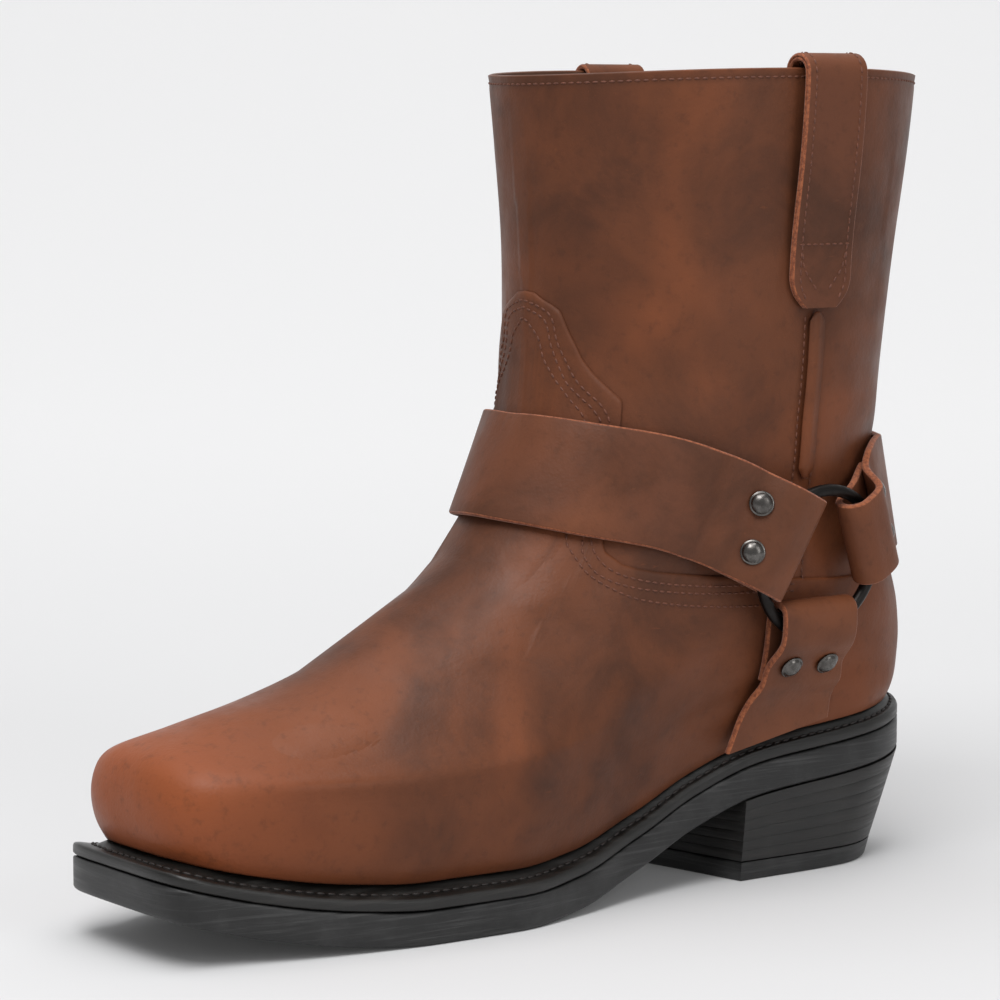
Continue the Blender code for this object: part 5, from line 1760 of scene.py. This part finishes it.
def oiled_leather(name, dark, mid, warm, toe=None, seam_shade=False, gloss=0.46):
    """Pull-up leather: tanned hide hot-stuffed with oil and wax, so its colour pools in soft clouds,
    pales where it is stretched, shows faint scratches and can carry painted shade along sewn rows."""
    material, tree, shader = new_finish(name)
    where = place_of(tree)
    # clouds of 20 to 60 mm
    cloud = noise(tree, where, 24.0, 5.0, 0.62, 0.5)
    wide = noise(tree, where, 11.0, 3.0, 0.5, 0.8)
    colour = mixed(tree, spread(tree, cloud, 0.30, 0.62, 0.15, 1.0), dark, mid)
    colour = mixed(tree, spread(tree, wide, 0.42, 0.74), colour, warm)
    if toe is not None:
        # paler from the ball of the foot forwards, with an uneven edge
        forward = add_node(tree, "ShaderNodeSeparateXYZ", {"Vector": where}).outputs["Y"]
        uneven = maths(tree, "ADD", forward, maths(tree, "MULTIPLY", wide, 0.10))
        colour = mixed(tree, spread(tree, uneven, -0.020, -0.125, 0.0, 0.85), colour, toe)
    # darker flecks of 2 to 4 mm where wax has gathered
    fleck = noise(tree, where, 260.0, 3.0, 0.65)
    colour = mixed(tree, spread(tree, fleck, 0.50, 0.78, 0.0, 0.35), colour, dark)
    # hair scratches, some 0.3 mm wide and 10 mm long
    slanted = stretched(tree, where, (900.0, 140.0, 900.0), (0.5, 0.3, 0.4))
    scratch = noise(tree, slanted, 1.0, 2.0, 0.6, 0.3)
    colour = mixed(tree, spread(tree, scratch, 0.66, 0.80, 0.0, 0.30), colour, warm)
    if seam_shade:
        # painted shade along the sewn rows, where the thread presses the leather into a groove
        near = add_node(tree, "ShaderNodeAttribute", attribute_name="seam_shade").outputs["Fac"]
        colour = mixed(tree, maths(tree, "MULTIPLY", near, 0.55), colour, dark)
    tree.links.new(colour, shader.inputs["Base Color"])
    patch = noise(tree, where, 45.0, 4.0, 0.6)
    tree.links.new(spread(tree, patch, 0.3, 0.7, gloss - 0.07, gloss + 0.10), shader.inputs["Roughness"])
    # grain of about 1 mm with finer pores
    grain = add_node(
        tree, "ShaderNodeTexVoronoi", {"Vector": where, "Scale": 1050.0, "Randomness": 1.0},
        feature="SMOOTH_F1",
    ).outputs["Distance"]
    pores = noise(tree, where, 1700.0, 3.0, 0.6)
    relief = maths(tree, "ADD", grain, maths(tree, "MULTIPLY", pores, 0.6))
    first = bumped(tree, shader, relief, 0.16, 0.0003)
    bumped(tree, shader, noise(tree, where, 120.0, 4.0, 0.6), 0.18, 0.0012, first)
    shader.inputs["IOR"].default_value = 1.47
    shader.inputs["Specular IOR Level"].default_value = 0.20
    return material


def raw_edge(name, base, pale):
    """Cut edge of the hide, undyed and fuzzy, with fibres about 1 mm long."""
    material, tree, shader = new_finish(name)
    where = place_of(tree)
    fibre = noise(tree, where, 900.0, 4.0, 0.7)
    colour = mixed(tree, spread(tree, fibre, 0.35, 0.65), base, pale)
    tree.links.new(colour, shader.inputs["Base Color"])
    bumped(tree, shader, fibre, 0.6, 0.0004)
    shader.inputs["Roughness"].default_value = 0.92
    shader.inputs["Sheen Weight"].default_value = 0.15
    return material


def black_sole(name, base, worn, streak_height, gloss):
    """Black rubber or dressed leather edge, trimmed on a wheel that leaves fine level
    streaks about a millimetre apart."""
    material, tree, shader = new_finish(name)
    where = place_of(tree)
    streak = noise(tree, stretched(tree, where, (30.0, 30.0, streak_height)), 1.0, 5.0, 0.65, 0.2)
    mottle = noise(tree, where, 60.0, 4.0, 0.6)
    colour = mixed(tree, spread(tree, streak, 0.46, 0.74, 0.0, 0.75), base, worn)
    colour = mixed(tree, spread(tree, mottle, 0.45, 0.75, 0.0, 0.30), colour, worn)
    tree.links.new(colour, shader.inputs["Base Color"])
    tree.links.new(spread(tree, streak, 0.3, 0.7, gloss - 0.08, gloss + 0.12), shader.inputs["Roughness"])
    first = bumped(tree, shader, streak, 0.30, 0.0005)
    bumped(tree, shader, noise(tree, where, 1500.0, 2.0, 0.5), 0.10, 0.0002, first)
    return material


HOLLOW_METAL = "2a2725"
TWIST_SHADE = "26120b"


def dark_metal(name, tone, roughness):
    """Gunmetal plating over turned steel, darker in the hollows."""
    material, tree, shader = new_finish(name)
    where = place_of(tree)
    cloud = noise(tree, where, 420.0, 3.0, 0.6)
    colour = mixed(tree, spread(tree, cloud, 0.35, 0.70, 0.0, 0.5), tone, HOLLOW_METAL)
    tree.links.new(colour, shader.inputs["Base Color"])
    dulled = spread(tree, cloud, 0.3, 0.7, roughness - 0.04, roughness + 0.12)
    tree.links.new(dulled, shader.inputs["Roughness"])
    shader.inputs["Metallic"].default_value = 1.0
    return material


def waxed_thread(name, code):
    """Waxed polyester thread about 0.8 mm thick, twisted, with a dull shine."""
    material, tree, shader = new_finish(name)
    where = place_of(tree)
    twist = noise(tree, where, 1400.0, 2.0, 0.6)
    colour = mixed(tree, spread(tree, twist, 0.35, 0.65, 0.0, 0.45), code, TWIST_SHADE)
    tree.links.new(colour, shader.inputs["Base Color"])
    shader.inputs["Roughness"].default_value = 0.62
    return material


def plain_leather(name, base, shade):
    """Undyed lining and insole leather, matt, with faint clouds from wear."""
    material, tree, shader = new_finish(name)
    where = place_of(tree)
    cloud = noise(tree, where, 40.0, 4.0, 0.6)
    colour = mixed(tree, spread(tree, cloud, 0.35, 0.65), base, shade)
    tree.links.new(colour, shader.inputs["Base Color"])
    bumped(tree, shader, noise(tree, where, 1200.0, 3.0, 0.6), 0.2, 0.0003)
    shader.inputs["Roughness"].default_value = 0.82
    return material


# The boot

# the upper's leather carries painted shade along its sewn rows
upper_leather = oiled_leather(
    "oiled_pull_up_leather", "452a1e", "623925", "774329", toe="98512f", seam_shade=True,
)
strap_leather = oiled_leather("oiled_strap_leather", "462b1e", "633b29", "75452d")
suede_edge = raw_edge("raw_suede_edge", "6e3820", "9c5a37")
lining = plain_leather("lining_leather", "4d3022", "5e3c2a")
insole_leather = plain_leather("insole_leather", "9a7350", "84603f")
sole_rubber = black_sole("trimmed_black_rubber", "131313", "404040", 900.0, 0.44)
welt_edge = black_sole("dressed_welt_edge", "12110f", "2a2826", 700.0, 0.42)
stack_leather = black_sole("dressed_stacked_leather", "141312", "2e2b29", 1100.0, 0.44)
ring_metal = dark_metal("blackened_steel", "2f2d2c", 0.38)
rivet_metal = dark_metal("polished_gunmetal", "6a6764", 0.24)
upper_thread = waxed_thread("brown_waxed_thread", "6a3c28")
black_thread = waxed_thread("black_waxed_thread", "1c1a19")

vamp, vamp_points, vamp_faces = build_vamp([upper_leather])
shaft, shaft_points, shaft_faces = build_shaft([upper_leather, lining])
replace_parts(shaft, "upper")
surface_points = [tuple(p) for p in np.concatenate([shaft_points, vamp_points])]
surface_faces = shaft_faces + [tuple(i + len(shaft_points) for i in face) for face in vamp_faces]
SURFACE = BVHTree.FromPolygons(surface_points, surface_faces)

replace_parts(build_welt([welt_edge]), "welt")
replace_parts(build_outsole([sole_rubber]), "outsole")
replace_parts(build_heel_stack([stack_leather]), "heel_stack")
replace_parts(build_heel_lift([sole_rubber]), "heel_lift")
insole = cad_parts["insole"]
insole.data.materials.clear()
insole.data.materials.append(insole_leather)

PLACES = {OUTER: RingPlace(OUTER, "ring_outer"), INNER: RingPlace(INNER, "ring_inner")}
SIDES = (("outer", OUTER), ("inner", INNER))


def strap_tree(piece):
    """Search tree of a finished piece, in the working frame."""
    points = [tuple(np.array(v.co) - TO_ROW) for v in piece.data.vertices]
    return BVHTree.FromPolygons(points, [tuple(p.vertices) for p in piece.data.polygons])


front_ends = {}
back_ends = {}
for side_name, side in SIDES:
    front_ends[side] = StrapEnd(PLACES[side], FRONT_STRAP_TILT, FRONT_STRAP_END)
    back_ends[side] = StrapEnd(PLACES[side], BACK_STRAP_TILT, BACK_STRAP_END, BACK_STRAP_SWING)
front_stations = wrapped_strap_stations(
    SURFACE, front_ends, STRAP_WIDTH, FRONT_STRAP_LINE, FRONT_STRAP_RISE,
)
back_stations = wrapped_strap_stations(
    SURFACE, back_ends, BACK_STRAP_WIDTH, BACK_STRAP_LINE, BACK_STRAP_RISE,
)
strap_finish = [strap_leather, suede_edge]
front_strap = strap_piece(
    "front_strap_dressed", front_stations, STRAP_THICKNESS, strap_finish,
)
back_strap = strap_piece(
    "back_strap_dressed", back_stations, STRAP_THICKNESS, strap_finish,
)
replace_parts(front_strap, "front_strap")
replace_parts(back_strap, "back_strap")

rivet_points = []
rivet_facings = []


def seat_rivets(piece, end, skew):
    """Two rivet places on the outer leaf of a strap."""
    tree = strap_tree(piece)
    for share in (1.0, -1.0):
        spot = end.leaf(RIVET_SETBACK + skew * share, 0.0) + end.across * RIVET_SPREAD * share
        place, normal = cap_seat(tree, spot, end)
        rivet_points.append(tuple(place - normal * SEAT_GAP))
        rivet_facings.append(tuple(normal))


# Rows of stitches near a pull strap's edges, and the patch that sews down its foot
PULL_EDGE_ROW = 0.0030
PULL_FULL_WIDTH = 0.4 * PULL_WIDTH
# The strap's two layers part in a groove along its edges
PULL_GROOVE = 0.0005
PULL_PATCH = [
    # distance from the strap's end, share of its half width
    [(0.0200, 1.0), (0.0200, 0.0), (0.0200, -1.0)],
    [(0.0190, 1.0), (0.0120, 0.85), (0.0060, 0.35)],
    [(0.0190, -1.0), (0.0120, -0.85), (0.0060, -0.35)],
]


def pull_strap_rows(stations, thickness):
    """Rows near both edges of a pull strap, and the patch that sews down its foot."""
    faces = []
    runs = [0.0]
    for i, (centre, across, half) in enumerate(stations):
        face = heading(stations, i).cross(across).normalized()
        if face.dot(centre - Vector((0.0, centre.y, centre.z - 0.02))) < 0.0:
            face = -face
        faces.append(face)
        if i > 0:
            runs.append(runs[-1] + (centre - stations[i - 1][0]).length)
    rows = []
    for sign in (1.0, -1.0):
        row = []
        for (centre, across, half), face in zip(stations, faces):
            if half > PULL_FULL_WIDTH:
                beside = centre + across * sign * (half - PULL_EDGE_ROW)
                row.append((beside + face * 0.5 * thickness, face))
        rows.append(row)
    for line in PULL_PATCH:
        row = []
        for distance, share in line:
            i = int(np.searchsorted(runs, distance))
            centre, across, half = stations[i]
            reach = 0.5 * PULL_WIDTH - PULL_EDGE_ROW
            row.append((centre + across * share * reach + faces[i] * 0.5 * thickness, faces[i]))
        rows.append(row)
    return rows


for side_name, side in SIDES:
    place = PLACES[side]
    seat_rivets(front_strap, front_ends[side], RIVET_SKEW)
    seat_rivets(back_strap, back_ends[side], 0.0)
    down = strap_piece(
        "ring_strap_dressed_" + side_name, ring_strap_stations(place, SURFACE), STRAP_THICKNESS,
        strap_finish,
    )
    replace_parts(down, "ring_strap_" + side_name)
    seat_rivets(down, StrapEnd(place, RING_STRAP_TILT, RING_STRAP_END), 0.0)
    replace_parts(build_ring("ring_dressed_" + side_name, place, [ring_metal]), "ring_" + side_name)

    pull_stations = pull_strap_stations(side, SURFACE)
    pull_thickness = PULL_LOOPS[side][1]
    pull = strap_piece(
        "pull_strap_dressed_" + side_name, pull_stations, pull_thickness, strap_finish,
        groove=PULL_GROOVE,
    )
    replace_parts(pull, "pull_strap_" + side_name)
    side_seam = build_side_seam("side_seam_dressed_" + side_name, side, SURFACE, [upper_leather])
    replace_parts(side_seam, "side_seam_" + side_name)

    rows = pull_strap_rows(pull_stations, pull_thickness)
    stitch_piece("pull_strap_stitches_" + side_name, rows, upper_thread)

cap = cap_object(rivet_metal)
rivets = grown(
    "rivets", rivet_points, [], rivet_facings, RIVETS, RIVET_KEYS, {"Cap": cap, "Metal": rivet_metal},
)
bpy.data.objects.remove(cap)
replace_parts(rivets, *[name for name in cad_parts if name.startswith("rivet_")])

# Threads stand this far above the leather and the welt, whose seats are found by
# rays from a little way out
THREAD_RISE = 0.00005
WELT_THREAD_RISE = 0.0002
SEWING_REACH = 0.01
upper_rows_sewn = []
for seam in UPPER_SEAMS:
    laid = []
    for point, normal in on_upper(seam, 0.0):
        target = Vector(point) + Vector(normal) * SEWING_REACH
        hit = SURFACE.ray_cast(target, -Vector(normal), 2.0 * SEWING_REACH)
        if hit[0] is not None:
            laid.append((hit[0] + Vector(normal) * THREAD_RISE, normal))
    upper_rows_sewn.append(laid)
stitch_piece("upper_stitches", upper_rows_sewn, upper_thread)

welt_groove = raised(welt_edge_top, WELT_RISE * WELT_SEAM_RISE + WELT_THREAD_RISE)
welt_row = [(point, (0.0, 0.0, 1.0)) for point in nested_loop(WELT_SEAM_SHARE, welt_groove)]
welt_row.append(welt_row[0])
stitch_piece("welt_stitches", [welt_row], black_thread, WELT_STITCH)


# Backdrop, light and camera

# The camera looks this far round from straight ahead, and down
VIEW_ANGLE = math.radians(53.63)
VIEW_DROP = math.radians(6.11)
BACKDROP_WIDTH = 7.0
BACKDROP_FRONT = -4.0
BACKDROP_FLOOR = 1.3
BACKDROP_CURVE = 1.0
BACKDROP_HEIGHT = 5.0
BACKDROP_STEPS = 24


def build_backdrop():
    """Sheet of paper that lies under the boot and curves up behind it."""
    level = Vector((-math.sin(VIEW_ANGLE), math.cos(VIEW_ANGLE), 0.0))
    across = Vector((level.y, -level.x, 0.0))
    profile = [(BACKDROP_FRONT, 0.0), (BACKDROP_FLOOR, 0.0)]
    for k in range(1, BACKDROP_STEPS + 1):
        turn = 0.5 * math.pi * k / BACKDROP_STEPS
        reach = BACKDROP_FLOOR + BACKDROP_CURVE * math.sin(turn)
        profile.append((reach, BACKDROP_CURVE * (1.0 - math.cos(turn))))
    profile.append((BACKDROP_FLOOR + BACKDROP_CURVE, BACKDROP_HEIGHT))
    points = []
    for reach, height in profile:
        for side in (1.0, -1.0):
            aside = across * BACKDROP_WIDTH * side
            points.append(level * reach + aside + Vector((0.0, 0.0, height)))
    faces = [(2 * k, 2 * k + 1, 2 * k + 3, 2 * k + 2) for k in range(len(profile) - 1)]
    mesh = bpy.data.meshes.new("paper_backdrop")
    mesh.from_pydata([tuple(p) for p in points], [], faces)
    mesh.shade_smooth()
    made = bpy.data.objects.new("paper_backdrop", mesh)
    bpy.context.scene.collection.objects.link(made)
    return made


def backdrop_paper(name):
    """Matt white paper that is lit more and more towards the back."""
    material, tree, shader = new_finish(name)
    parts = add_node(tree, "ShaderNodeSeparateXYZ", {"Vector": place_of(tree)}).outputs
    ahead = maths(tree, "MULTIPLY", parts["Y"], math.cos(VIEW_ANGLE))
    aside = maths(tree, "MULTIPLY", parts["X"], -math.sin(VIEW_ANGLE))
    behind = maths(tree, "ADD", ahead, aside)
    glow = spread(tree, behind, -0.10, 1.60, 0.03, 0.37)
    shader.inputs["Base Color"].default_value = linear("cbcbcc")
    shader.inputs["Roughness"].default_value = 0.9
    shader.inputs["Specular IOR Level"].default_value = 0.1
    shader.inputs["Emission Color"].default_value = linear("f4f4f4")
    tree.links.new(glow, shader.inputs["Emission Strength"])
    return material


backdrop = build_backdrop()
backdrop.data.materials.append(backdrop_paper("matt_white_paper"))

world = bpy.data.worlds.new("studio_air")
bpy.context.scene.world = world
world.use_nodes = True
air = world.node_tree.nodes["Background"]
air.inputs["Color"].default_value = linear("efefef")
air.inputs["Strength"].default_value = 0.42


def soft_light(name, place, aim, size, power):
    """Rectangular studio light at a place, aimed at a point."""
    data = bpy.data.lights.new(name, "AREA")
    data.shape = "RECTANGLE"
    data.size = size[0]
    data.size_y = size[1]
    data.energy = power
    made = bpy.data.objects.new(name, data)
    made.location = place
    made.rotation_euler = (Vector(aim) - Vector(place)).to_track_quat("-Z", "Y").to_euler()
    bpy.context.scene.collection.objects.link(made)


BOOT_MIDDLE = (0.0, 0.0, 0.13)
soft_light("key", (0.75, -0.95, 1.8), BOOT_MIDDLE, (1.0, 1.0), 26.0)
soft_light("top", (0.1, -0.1, 2.1), BOOT_MIDDLE, (1.6, 1.6), 24.0)
soft_light("side", (1.9, 0.3, 0.9), BOOT_MIDDLE, (0.8, 1.3), 8.0)

camera_data = bpy.data.cameras.new("camera")
camera_data.sensor_width = 36.0
camera_data.lens = 131.44
camera_data.shift_x = -0.0283
camera_data.clip_end = 50.0
camera = bpy.data.objects.new("camera", camera_data)
camera.location = (0.9511, HEEL_BACK - 0.8504, 0.2557)
look = Vector((
    -math.sin(VIEW_ANGLE) * math.cos(VIEW_DROP),
    math.cos(VIEW_ANGLE) * math.cos(VIEW_DROP),
    -math.sin(VIEW_DROP),
))
camera.rotation_euler = look.to_track_quat("-Z", "Y").to_euler()
bpy.context.scene.collection.objects.link(camera)
bpy.context.scene.camera = camera
bpy.context.scene.view_settings.view_transform = "Standard"
